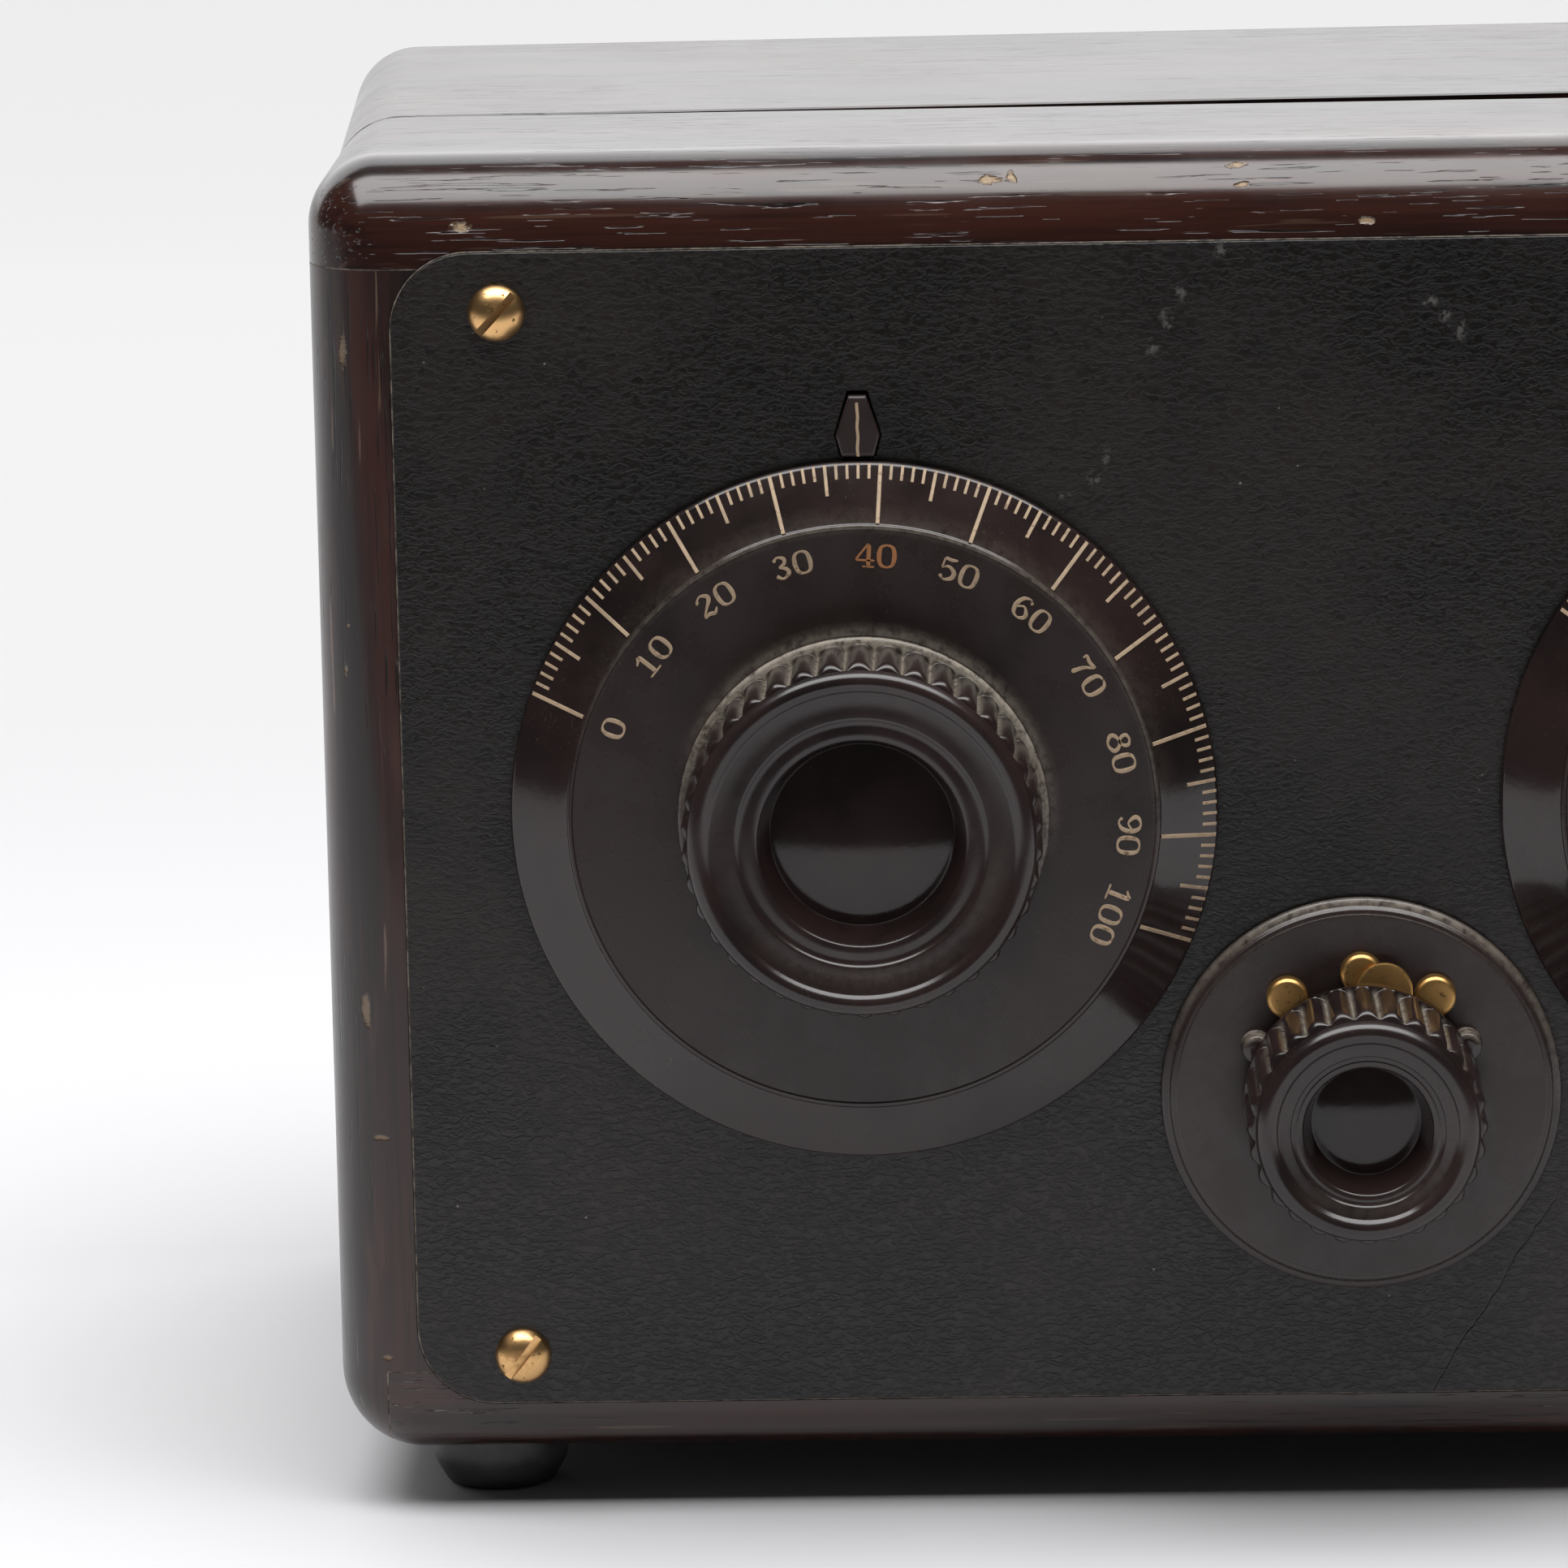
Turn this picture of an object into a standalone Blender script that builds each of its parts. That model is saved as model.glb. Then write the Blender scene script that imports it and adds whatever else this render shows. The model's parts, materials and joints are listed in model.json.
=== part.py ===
"""Crystal radio set in a two-part wooden cabinet, modelled piece by piece.

Cabinet frame: x to the right from the cabinet's middle, y back from the panel's face, z up from the
table. A root empty then moves everything so that the middle of the base is at the origin.
Turned pieces are drawn as (radius, height) with the height running out towards the viewer.
"""

import math

import bmesh
import bpy
from mathutils import Matrix, Vector

# Cabinet
CABINET_WIDTH = 0.2943
CABINET_BOTTOM = 0.008
CABINET_TOP = 0.196
FRONT_DEPTH = 0.0575
COVER_DEPTH = 0.1085
SEAM_GAP = 0.001
COVER_AJAR = 2.5
WALL = 0.009
BACK_THICKNESS = 0.009
CORNER_TOP = 0.010
CORNER_BOTTOM = 0.012
EDGE_ROUND = 0.0088
STILE_WIDTH = 0.0074
LAP_RISE = 0.0043
CAP_HEIGHT = 0.0152
LEDGE_WIDTH = 0.014
LEDGE_DEPTH = 0.013
JOINT_GAP = 0.0003

# Panel
SIDE_MARGIN = 0.0121
TOP_MARGIN = 0.013
BOTTOM_MARGIN = 0.009
PANEL_THICKNESS = 0.005
PANEL_PROUD = 0.0006
PANEL_CORNER = 0.011
SCREW_INSET_X = 0.0149
SCREW_INSET_TOP = 0.0084
SCREW_INSET_BOTTOM = 0.007
SCREW_HEAD = 0.004
SCREW_SHANK = 0.0016
SCREW_LENGTH = 0.014

# Feet
FOOT_TOP_RADIUS = 0.010
FOOT_BASE_RADIUS = 0.0078
FOOT_INSET = 0.022

# Tuning
DIAL_SPACING = 0.1397
DIAL_DROP = 0.080
DIAL_RADIUS = 0.050
DIAL_PLATEAU = 0.04165
DIAL_RIM = 0.0015
DIAL_RISE = 0.0061
DIAL_CLEAR = 0.0008
KNOB_FLANGE = 0.0262
KNOB_RADIUS = 0.0252
KNOB_LIP = 0.0240
KNOB_HEIGHT = 0.0262
KNOB_WELL = 0.0180
READING_LEFT = 38.0
READING_RIGHT = 31.0
DEGREES_PER_DIVISION = 1.818
SPINDLE_RADIUS = 0.0032
RUNNING_CLEARANCE = 0.0003
POINTER_LENGTH = 0.0086

# Variable condensers
CONDENSER_PLATE_RADIUS = 0.037
CONDENSER_PLATE = 0.003
CONDENSER_STANDOFF = 0.0040
CONDENSER_SPACE = 0.031
STATOR_RADIUS = 0.0355
ROTOR_RADIUS = 0.0300
VANE = 0.0008
STATOR_VANES = 5
HUB_RADIUS = 0.0060

# Selector switch
SWITCH_CLEARANCE = 0.00305
SWITCH_RADIUS = 0.0284
SWITCH_BASE = 0.0024
STUD_CIRCLE = 0.0180
STUD_RADIUS = 0.00295
STUD_HEIGHT = 0.0023
STUD_ANGLE = 35.5
STUD_SHANK = 0.0015
STOP_CIRCLE = 0.0167
STOP_RADIUS = 0.0020
STOP_ANGLE = 63.0
WIPER_ANGLE = 11.4
WIPER_END = 0.0042
WIPER_HUB = 0.0065
WIPER_THICKNESS = 0.0009
SWITCH_KNOB_RADIUS = 0.0168
SWITCH_KNOB_LIP = 0.0159
SWITCH_KNOB_TOP = 0.0262
SWITCH_KNOB_WELL = 0.0185

# Coil
COIL_RADIUS = 0.0265
COIL_WALL = 0.0015
COIL_LENGTH = 0.098
COIL_Y = 0.042
COIL_BASE_TOP = 0.0376
WIRE_BUILD = 0.0011
WINDING_MARGIN = 0.010

# Crystal detector
DETECTOR_X = 0.078
DETECTOR_Y = 0.041
DETECTOR_LENGTH = 0.062
DETECTOR_WIDTH = 0.020
DETECTOR_BASE = 0.006
DETECTOR_SPAN = 0.036
CUP_RADIUS = 0.0062
CUP_HEIGHT = 0.0105
CRYSTAL_RADIUS = 0.0042
BALL_RADIUS = 0.0042
ARM_RADIUS = 0.0011
ARM_ABOVE_BASE = 0.019

# Terminals
TERMINAL_PITCH = 0.024
STRIP_THICKNESS = 0.004
STRIP_WIDTH = 0.018
POST_RADIUS = 0.0021
POST_FLANGE = 0.0050
POST_LENGTH = 0.0165
NUT_RADIUS = 0.0054
NUT_LENGTH = 0.0055
TERMINAL_COUNT = 4

TERMINAL_BEHIND_MIDDLE = 0.002

# Hinge and hook
HINGE_LENGTH = 0.120
KNUCKLE_RADIUS = 0.0016
PIN_RADIUS = 0.0009
LEAF = 0.0012
LEAF_WIDTH = 0.014
KNUCKLES = 5
HOOK_HEIGHT = 0.120
HOOK_RADIUS = 0.0013

ROUND = 32
SMALL_ROUND = 16
HALF = CABINET_WIDTH / 2
COVER_FRONT = FRONT_DEPTH + SEAM_GAP
COVER_BACK = COVER_FRONT + COVER_DEPTH
CABINET_FRONT = PANEL_PROUD
PANEL_BACK = PANEL_THICKNESS
PANEL_WIDTH = CABINET_WIDTH - 2 * SIDE_MARGIN
PANEL_TOP = CABINET_TOP - TOP_MARGIN
PANEL_BOTTOM = CABINET_BOTTOM + BOTTOM_MARGIN
DIAL_HEIGHT = PANEL_TOP - DIAL_DROP
SWITCH_REACH = DIAL_RADIUS + SWITCH_RADIUS + SWITCH_CLEARANCE
SWITCH_HEIGHT = DIAL_HEIGHT - math.sqrt(max(0.0, SWITCH_REACH**2 - (DIAL_SPACING / 2) ** 2))
CONDENSER_FRONT = PANEL_BACK + CONDENSER_STANDOFF
HINGE_X = -HALF - KNUCKLE_RADIUS - JOINT_GAP
HINGE_Y = FRONT_DEPTH + SEAM_GAP / 2
DIAL_X = {"left": -DIAL_SPACING / 2, "right": DIAL_SPACING / 2}
READING = {"left": READING_LEFT, "right": READING_RIGHT}
FACE_FRONT = math.radians(90)


# ---------------------------------------------------------------- scene and helpers

for old in list(bpy.data.objects):
    bpy.data.objects.remove(old, do_unlink=True)

PARTS = bpy.data.collections.new("crystal_radio_set")
CUTTERS = bpy.data.collections.new("cutters")
CUTTERS.hide_render = True
for group in (PARTS, CUTTERS):
    bpy.context.scene.collection.children.link(group)


def finish(name, color, roughness, metallic=0.0):
    """A Principled material."""
    material = bpy.data.materials.new(name)
    material.use_nodes = True
    shader = material.node_tree.nodes["Principled BSDF"]
    shader.inputs["Base Color"].default_value = (*color, 1.0)
    shader.inputs["Roughness"].default_value = roughness
    shader.inputs["Metallic"].default_value = metallic
    return material


MAHOGANY = finish("mahogany", (0.050, 0.018, 0.012), 0.35)
LEATHERBOARD = finish("panel_black", (0.016, 0.015, 0.014), 0.45)
BAKELITE = finish("bakelite", (0.020, 0.010, 0.008), 0.28)
BRASS = finish("brass", (0.55, 0.36, 0.15), 0.40, 1.0)
ALUMINIUM = finish("aluminium", (0.60, 0.60, 0.58), 0.38, 1.0)
COPPER = finish("winding", (0.42, 0.16, 0.06), 0.45)
CARD = finish("former", (0.24, 0.15, 0.07), 0.60)
GALENA = finish("galena", (0.18, 0.19, 0.21), 0.30, 0.8)


def pivot(name, position, parent=None, turn=0.0):
    """An empty at a joint's axis; turn is about the vertical, in degrees."""
    empty = bpy.data.objects.new(name, None)
    empty["at"] = tuple(position)
    empty.rotation_euler = (0, 0, math.radians(turn))
    put(empty, position, parent)
    PARTS.objects.link(empty)
    return empty


def put(obj, position, parent):
    """Places an object given its position in the cabinet frame."""
    origin = Vector(parent["at"]) if parent else Vector((0, 0, 0))
    obj.location = Vector(position) - origin
    obj.parent = parent


def add(name, mesh, material, position, parent, rotation=(0, 0, 0), group=PARTS):
    obj = bpy.data.objects.new(name, mesh)
    if material:
        mesh.materials.append(material)
    obj.rotation_euler = rotation
    put(obj, position, parent)
    group.objects.link(obj)
    if group is CUTTERS:
        obj.hide_render = True
        obj.display_type = "WIRE"
    return obj


def box_mesh(name, size):
    bm = bmesh.new()
    bmesh.ops.create_cube(bm, size=1.0, matrix=Matrix.Diagonal((*size, 1.0)))
    mesh = bpy.data.meshes.new(name)
    bm.to_mesh(mesh)
    bm.free()
    return mesh


def box(name, low, high, material, parent, group=PARTS):
    """A block between two corners of the cabinet frame."""
    low, high = Vector(low), Vector(high)
    return add(name, box_mesh(name, high - low), material, (low + high) / 2, parent, group=group)


def rod_mesh(name, radius, low, high, steps=SMALL_ROUND):
    """A cylinder along local z, from low to high."""
    bm = bmesh.new()
    bmesh.ops.create_cone(
        bm,
        cap_ends=True,
        segments=steps,
        radius1=radius,
        radius2=radius,
        depth=high - low,
        matrix=Matrix.Translation((0, 0, (low + high) / 2)),
    )
    mesh = bpy.data.meshes.new(name)
    bm.to_mesh(mesh)
    bm.free()
    return mesh


def turned(name, profile, material, position, parent, rotation=(FACE_FRONT, 0, 0), steps=ROUND,
           ring=False):
    """A turned piece: (radius, height) points from the top, down the outer side; a ring joins up."""
    mesh = bpy.data.meshes.new(name)
    count = len(profile)
    edges = [(i, i + 1) for i in range(count - 1)] + ([(count - 1, 0)] if ring else [])
    mesh.from_pydata([(radius, 0, height) for radius, height in profile], edges, [])
    obj = add(name, mesh, material, position, parent, rotation)
    screw = obj.modifiers.new("turn", "SCREW")
    screw.steps = screw.render_steps = steps
    screw.use_merge_vertices = True
    screw.merge_threshold = 0.00001
    return obj


def arc(x, y, radius, start, end, steps):
    """Points of an arc, angles in degrees anticlockwise from the right."""
    angles = [math.radians(start + (end - start) * i / steps) for i in range(steps + 1)]
    return [(x + radius * math.cos(a), y + radius * math.sin(a)) for a in angles]


def plate_mesh(name, outline, low, high):
    """A flat outline in local x and y, extruded between two heights."""
    curve = bpy.data.curves.new(name, "CURVE")
    curve.dimensions = "2D"
    curve.fill_mode = "BOTH"
    curve.extrude = (high - low) / 2
    spline = curve.splines.new("POLY")
    spline.points.add(len(outline) - 1)
    for point, (x, y) in zip(spline.points, outline):
        point.co = (x, y, 0, 1)
    spline.use_cyclic_u = True
    helper = bpy.data.objects.new(name, curve)
    bpy.context.scene.collection.objects.link(helper)
    graph = bpy.context.evaluated_depsgraph_get()
    mesh = bpy.data.meshes.new_from_object(helper.evaluated_get(graph))
    bpy.data.objects.remove(helper)
    bpy.data.curves.remove(curve)
    bm = bmesh.new()
    bm.from_mesh(mesh)
    bmesh.ops.remove_doubles(bm, verts=bm.verts, dist=0.000001)
    bmesh.ops.translate(bm, verts=bm.verts, vec=(0, 0, (low + high) / 2))
    bmesh.ops.recalc_face_normals(bm, faces=bm.faces)
    bm.to_mesh(mesh)
    bm.free()
    mesh.name = name
    return mesh


def tool(name, mesh, position, parent, rotation=(FACE_FRONT, 0, 0)):
    """A helper solid for a Boolean."""
    return add(name, mesh, None, position, parent, rotation, CUTTERS)


def combine(target, tools, operation):
    """A Boolean of the target with each of the tools."""
    for index, other in enumerate(tools):
        modifier = target.modifiers.new(f"{operation.lower()}_{index}", "BOOLEAN")
        modifier.operation = operation
        modifier.object = other


def smooth(obj, angle=35.0):
    obj.data.shade_smooth()
    obj.data.set_sharp_from_angle(angle=math.radians(angle))


def bevelled(bm, edges, radius, segments):
    bmesh.ops.bevel(bm, geom=edges, offset=radius, offset_type="OFFSET", segments=segments,
                    profile=0.5, affect="EDGES")


# ---------------------------------------------------------------- cabinet

ROOT = pivot("crystal_radio_set_root", (0, 0, 0))
HINGE_AXIS = (HINGE_X, HINGE_Y, 0)
COVER = pivot("rear_cover_pivot", HINGE_AXIS, ROOT, COVER_AJAR)


def cabinet_block(name, front, back, rounded_face, material, parent):
    """The cabinet's outer form between two depths, its long corners and one end's rim rounded."""
    bm = bmesh.new()
    size = (CABINET_WIDTH, back - front, CABINET_TOP - CABINET_BOTTOM)
    bmesh.ops.create_cube(bm, size=1.0, matrix=Matrix.Diagonal((*size, 1.0)))
    for sign, radius in ((1, CORNER_TOP), (-1, CORNER_BOTTOM)):
        edges = [
            edge for edge in bm.edges
            if abs(edge.verts[0].co.y - edge.verts[1].co.y) > size[1] / 2
            and min(sign * vert.co.z for vert in edge.verts) > size[2] / 2 - radius / 10
            and min(abs(vert.co.x) for vert in edge.verts) > size[0] / 2 - radius / 10
        ]
        bevelled(bm, edges, radius, 5)
    face_y = size[1] / 2 * (-1 if rounded_face == "front" else 1)
    rim = [
        edge for edge in bm.edges
        if all(abs(vert.co.y - face_y) < 0.000001 for vert in edge.verts)
        and len(edge.link_faces) == 2
    ]
    bevelled(bm, rim, EDGE_ROUND, 4)
    bmesh.ops.recalc_face_normals(bm, faces=bm.faces)
    mesh = bpy.data.meshes.new(name)
    bm.to_mesh(mesh)
    bm.free()
    middle = (0, (front + back) / 2, (CABINET_TOP + CABINET_BOTTOM) / 2)
    return add(name, mesh, material, middle, parent)


def board(name, span, keep, remove, parent, rounded_face, tools=()):
    """One board: the cabinet's form kept inside one block and cleared of others and of tools."""
    obj = cabinet_block(name, *span, rounded_face, MAHOGANY, parent)
    keeper = box(name + "_keep", *keep, None, parent, CUTTERS)
    combine(obj, [keeper], "INTERSECT")
    clear = [
        box(f"{name}_clear_{index}", *block, None, parent, CUTTERS)
        for index, block in enumerate(remove)
    ]
    combine(obj, clear + list(tools), "DIFFERENCE")
    smooth(obj)
    return obj


OUT = 0.050
PANEL_HALF = PANEL_WIDTH / 2
CAVITY_HALF = HALF - WALL
CAP_BASE = CABINET_TOP - CAP_HEIGHT
LEDGE_TOP = PANEL_TOP - LEDGE_WIDTH
LEDGE_BOTTOM = PANEL_BOTTOM + LEDGE_WIDTH
LEDGE_HALF = PANEL_HALF - LEDGE_WIDTH
STILE_INNER = HALF - STILE_WIDTH
LAP_TOP = PANEL_BOTTOM + LAP_RISE
LEDGE_BACK = PANEL_BACK + LEDGE_DEPTH
MID_HEIGHT = (CABINET_TOP + CABINET_BOTTOM) / 2

FRONT_VOIDS = [
    ((-LEDGE_HALF, 0, LEDGE_BOTTOM), (LEDGE_HALF, LEDGE_BACK + JOINT_GAP, LEDGE_TOP)),
    ((-CAVITY_HALF, LEDGE_BACK, CABINET_BOTTOM + WALL),
     (CAVITY_HALF, FRONT_DEPTH + OUT, CABINET_TOP - WALL)),
]
FRONT_SPAN = (CABINET_FRONT, FRONT_DEPTH)


def front_section():
    """Top rail with the rounded corners, two stiles under it and a bottom rail lapped between them."""
    wide = HALF + OUT
    height = PANEL_TOP - PANEL_BOTTOM + 2 * JOINT_GAP
    outline = rounded_rectangle(PANEL_WIDTH + 2 * JOINT_GAP, height, PANEL_CORNER + JOINT_GAP)
    rebate = [tool("panel_rebate", plate_mesh("rebate", outline, -PANEL_BACK - JOINT_GAP, OUT),
                   (0, 0, (PANEL_TOP + PANEL_BOTTOM) / 2), ROOT)]
    def ends(low, high):
        """What a rail gives up to the two stiles between two heights."""
        return [((x1, -OUT, low), (x2, FRONT_DEPTH + OUT, high))
                for x1, x2 in ((-wide, -LEDGE_HALF), (LEDGE_HALF, wide))]

    board("front_top_rail", FRONT_SPAN,
          ((-wide, -OUT, LEDGE_TOP), (wide, FRONT_DEPTH + OUT, CABINET_TOP + OUT)),
          FRONT_VOIDS + ends(0, CAP_BASE), ROOT, "front", rebate)
    board("front_bottom_rail", FRONT_SPAN,
          ((-STILE_INNER, -OUT, -OUT), (STILE_INNER, FRONT_DEPTH + OUT, LEDGE_BOTTOM)),
          FRONT_VOIDS + ends(LAP_TOP, CABINET_TOP), ROOT, "front", rebate)
    for name, side in (("front_left_stile", -1), ("front_right_stile", 1)):
        keep_x = sorted((side * (LEDGE_HALF + JOINT_GAP), side * wide))
        lap_x = sorted((0, side * (STILE_INNER + JOINT_GAP)))
        keep = ((keep_x[0], -OUT, -OUT), (keep_x[1], FRONT_DEPTH + OUT, CAP_BASE - JOINT_GAP))
        lap = ((lap_x[0], -OUT, -OUT), (lap_x[1], FRONT_DEPTH + OUT, LAP_TOP + JOINT_GAP))
        board(name, FRONT_SPAN, keep, FRONT_VOIDS + [lap], ROOT, "front", rebate)


COVER_SPAN = (COVER_FRONT, COVER_BACK)
BACK_FACE = COVER_BACK - BACK_THICKNESS


def rear_cover():
    """Four walls and a back that swing together behind the front section."""
    wide = HALF + OUT
    walls_end = BACK_FACE - JOINT_GAP
    cavity = ((-CAVITY_HALF, 0, CABINET_BOTTOM + WALL), (CAVITY_HALF, BACK_FACE, CABINET_TOP - WALL))
    low, high = CABINET_BOTTOM + CORNER_BOTTOM, CABINET_TOP - CORNER_TOP
    pieces = {
        "rear_top_board": ((-wide, 0, high), (wide, walls_end, CABINET_TOP + OUT)),
        "rear_bottom_board": ((-wide, 0, -OUT), (wide, walls_end, low)),
        "rear_left_board": ((-wide, 0, low + JOINT_GAP), (0, walls_end, high - JOINT_GAP)),
        "rear_right_board": ((0, 0, low + JOINT_GAP), (wide, walls_end, high - JOINT_GAP)),
    }
    for name, keep in pieces.items():
        board(name, COVER_SPAN, keep, [cavity], COVER, "back")
    board("rear_back_board", COVER_SPAN,
          ((-wide, BACK_FACE, -OUT), (wide, COVER_BACK + OUT, CABINET_TOP + OUT)), [], COVER, "back")


def feet():
    profile = [
        (0, CABINET_BOTTOM - JOINT_GAP),
        (FOOT_TOP_RADIUS, CABINET_BOTTOM - JOINT_GAP),
        (FOOT_TOP_RADIUS, CABINET_BOTTOM * 0.62),
        (FOOT_TOP_RADIUS * 0.95, CABINET_BOTTOM * 0.38),
        (FOOT_BASE_RADIUS, 0.0),
        (0, 0.0),
    ]
    spots = {"front": (FOOT_INSET, ROOT), "rear": (COVER_BACK - FOOT_INSET, COVER)}
    for row, (y, parent) in spots.items():
        for side, x in (("left", -HALF + FOOT_INSET), ("right", HALF - FOOT_INSET)):
            foot = turned(f"foot_{row}_{side}", profile, MAHOGANY, (x, y, 0), parent, (0, 0, 0),
                          SMALL_ROUND)
            smooth(foot)


# ---------------------------------------------------------------- panel

def rounded_rectangle(width, height, radius, steps=5):
    x, y = width / 2 - radius, height / 2 - radius
    corners = [(x, y, 0), (-x, y, 90), (-x, -y, 180), (x, -y, 270)]
    return [point for cx, cy, start in corners
            for point in arc(cx, cy, radius, start, start + 90, steps)]


def pointer_outline(grow, tail):
    """The pointer's tapered shape above a dial, grown all round, its top edge raised by tail."""
    low = DIAL_RADIUS + 2 * RUNNING_CLEARANCE - grow
    high = low + POINTER_LENGTH + 2 * grow
    waist = low + 0.35 * POINTER_LENGTH
    half_base, half_waist, half_top = (w + grow for w in (0.00245, 0.0031, 0.00135))
    return [
        (half_base, low), (half_waist, waist), (half_top, high + tail),
        (-half_top, high + tail), (-half_waist, waist), (-half_base, low),
    ]


def screw_places():
    x = PANEL_HALF - SCREW_INSET_X
    top, bottom = PANEL_TOP - SCREW_INSET_TOP, PANEL_BOTTOM + SCREW_INSET_BOTTOM
    return [(-x, top), (x, top), (-x, bottom), (x, bottom)]


def stud_places(angles, circle):
    return [
        (circle * math.sin(math.radians(a)), SWITCH_HEIGHT + circle * math.cos(math.radians(a)))
        for a in angles
    ]


STUDS = stud_places((-STUD_ANGLE, 0, STUD_ANGLE), STUD_CIRCLE)


def hole_tools(prefix, places, radius, front, back):
    """Straight cutters through the panel's thickness, at (x, z) places."""
    return [
        tool(f"{prefix}_{index}", rod_mesh(prefix, radius, -back, front, 16), (x, 0, z), ROOT)
        for index, (x, z) in enumerate(places)
    ]


def front_panel():
    outline = rounded_rectangle(PANEL_WIDTH, PANEL_TOP - PANEL_BOTTOM, PANEL_CORNER)
    mesh = plate_mesh("front_panel", outline, -PANEL_THICKNESS, 0)
    middle = (0, 0, (PANEL_TOP + PANEL_BOTTOM) / 2)
    panel = add("front_panel", mesh, LEATHERBOARD, middle, ROOT, (FACE_FRONT, 0, 0))
    through, margin = PANEL_THICKNESS * 2, PANEL_THICKNESS
    spindles = [(x, DIAL_HEIGHT) for x in DIAL_X.values()] + [(0, SWITCH_HEIGHT)]
    cutters = hole_tools("spindle_hole", spindles, SPINDLE_RADIUS + 2 * JOINT_GAP, margin, through)
    cutters += hole_tools("stud_hole", STUDS, STUD_SHANK + JOINT_GAP, margin, through)
    cutters += hole_tools("screw_hole", screw_places(), SCREW_SHANK + JOINT_GAP, margin,
                          SCREW_LENGTH + JOINT_GAP)
    for side, x in DIAL_X.items():
        slot = plate_mesh("slot", pointer_outline(JOINT_GAP, 0.0008), -through, margin)
        cutters.append(tool(f"pointer_slot_{side}", slot, (x, 0, DIAL_HEIGHT), ROOT))
    combine(panel, cutters, "DIFFERENCE")
    screw_holes = [cutter for cutter in cutters if cutter.name.startswith("screw_hole")]
    for name in ("front_top_rail", "front_bottom_rail", "front_left_stile", "front_right_stile"):
        combine(bpy.data.objects[name], screw_holes, "DIFFERENCE")


def panel_screws():
    dome = [(SCREW_HEAD * math.sin(a), JOINT_GAP + SCREW_HEAD * 0.62 * math.cos(a))
            for a in (math.radians(22.5 * i) for i in range(5))]
    profile = dome + [(SCREW_SHANK, JOINT_GAP), (SCREW_SHANK, -SCREW_LENGTH), (0, -SCREW_LENGTH)]
    for number, (x, z) in enumerate(screw_places(), 1):
        smooth(turned(f"panel_screw_{number}", profile, BRASS, (x, 0, z), ROOT, steps=12))


def pointers():
    for side, x in DIAL_X.items():
        mesh = plate_mesh("pointer", pointer_outline(0, 0), -PANEL_THICKNESS, 0.0012)
        add(f"pointer_{side}", mesh, BAKELITE, (x, 0, DIAL_HEIGHT), ROOT, (FACE_FRONT, 0, 0))


# ---------------------------------------------------------------- dials and knobs

BORE = SPINDLE_RADIUS + RUNNING_CLEARANCE
KNOB_SEAT = DIAL_RISE + JOINT_GAP
SPINDLE_END = KNOB_WELL - 0.0035


def knob_profile(flange, body, lip, well, top, floor, seat, bore_top):
    """A knob with a flange, a fluted body, a round lip, a trough and a deep well."""
    return [
        (0, floor), (well * 0.83, floor), (well, floor + 0.0035), (well * 1.06, top - 0.0010),
        (well * 1.18, top - 0.0005), (lip * 0.86, top - 0.0014), (lip * 0.96, top - 0.0002),
        (lip * 1.01, top - 0.0002), (body, top - 0.0026), (body, seat + 0.0024), (flange, seat + 0.0018),
        (flange, seat), (BORE, seat), (BORE, bore_top + JOINT_GAP), (0, bore_top + JOINT_GAP),
    ]


def dials():
    dial_profile = [
        (BORE, DIAL_RISE), (DIAL_PLATEAU, DIAL_RISE), (DIAL_RADIUS, DIAL_RIM),
        (DIAL_RADIUS, DIAL_CLEAR), (BORE, DIAL_CLEAR),
    ]
    knob = knob_profile(KNOB_FLANGE, KNOB_RADIUS, KNOB_LIP, 0.0145, KNOB_HEIGHT, KNOB_WELL, KNOB_SEAT,
                        SPINDLE_END)
    for side, x in DIAL_X.items():
        centre = (x, 0, DIAL_HEIGHT)
        smooth(turned(f"dial_{side}", dial_profile, BAKELITE, centre, ROOT, steps=40, ring=True))
        smooth(turned(f"knob_{side}", knob, BAKELITE, centre, ROOT))


# ---------------------------------------------------------------- variable condensers

CONDENSER_BACK = CONDENSER_FRONT + CONDENSER_PLATE + CONDENSER_SPACE


def condenser_plates(side, centre):
    boss_front, boss_back = PANEL_BACK + JOINT_GAP, CONDENSER_BACK + 2 * CONDENSER_PLATE
    front = [
        (BORE, -boss_front), (HUB_RADIUS, -boss_front), (HUB_RADIUS, -CONDENSER_FRONT),
        (CONDENSER_PLATE_RADIUS, -CONDENSER_FRONT),
        (CONDENSER_PLATE_RADIUS, -CONDENSER_FRONT - CONDENSER_PLATE),
        (BORE, -CONDENSER_FRONT - CONDENSER_PLATE),
    ]
    back = [
        (BORE, -CONDENSER_BACK), (CONDENSER_PLATE_RADIUS, -CONDENSER_BACK),
        (CONDENSER_PLATE_RADIUS, -CONDENSER_BACK - CONDENSER_PLATE),
        (HUB_RADIUS, -CONDENSER_BACK - CONDENSER_PLATE), (HUB_RADIUS, -boss_back), (BORE, -boss_back),
    ]
    for end, profile in (("front", front), ("rear", back)):
        turned(f"condenser_{side}_{end}_plate", profile, BAKELITE, centre, ROOT, steps=24, ring=True)


def vane_heights():
    """Middle depths of the fixed vanes, evenly spaced between the two plates."""
    pitch = CONDENSER_SPACE / STATOR_VANES
    first = CONDENSER_FRONT + CONDENSER_PLATE + pitch / 2
    return [first + pitch * index for index in range(STATOR_VANES)], pitch


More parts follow.
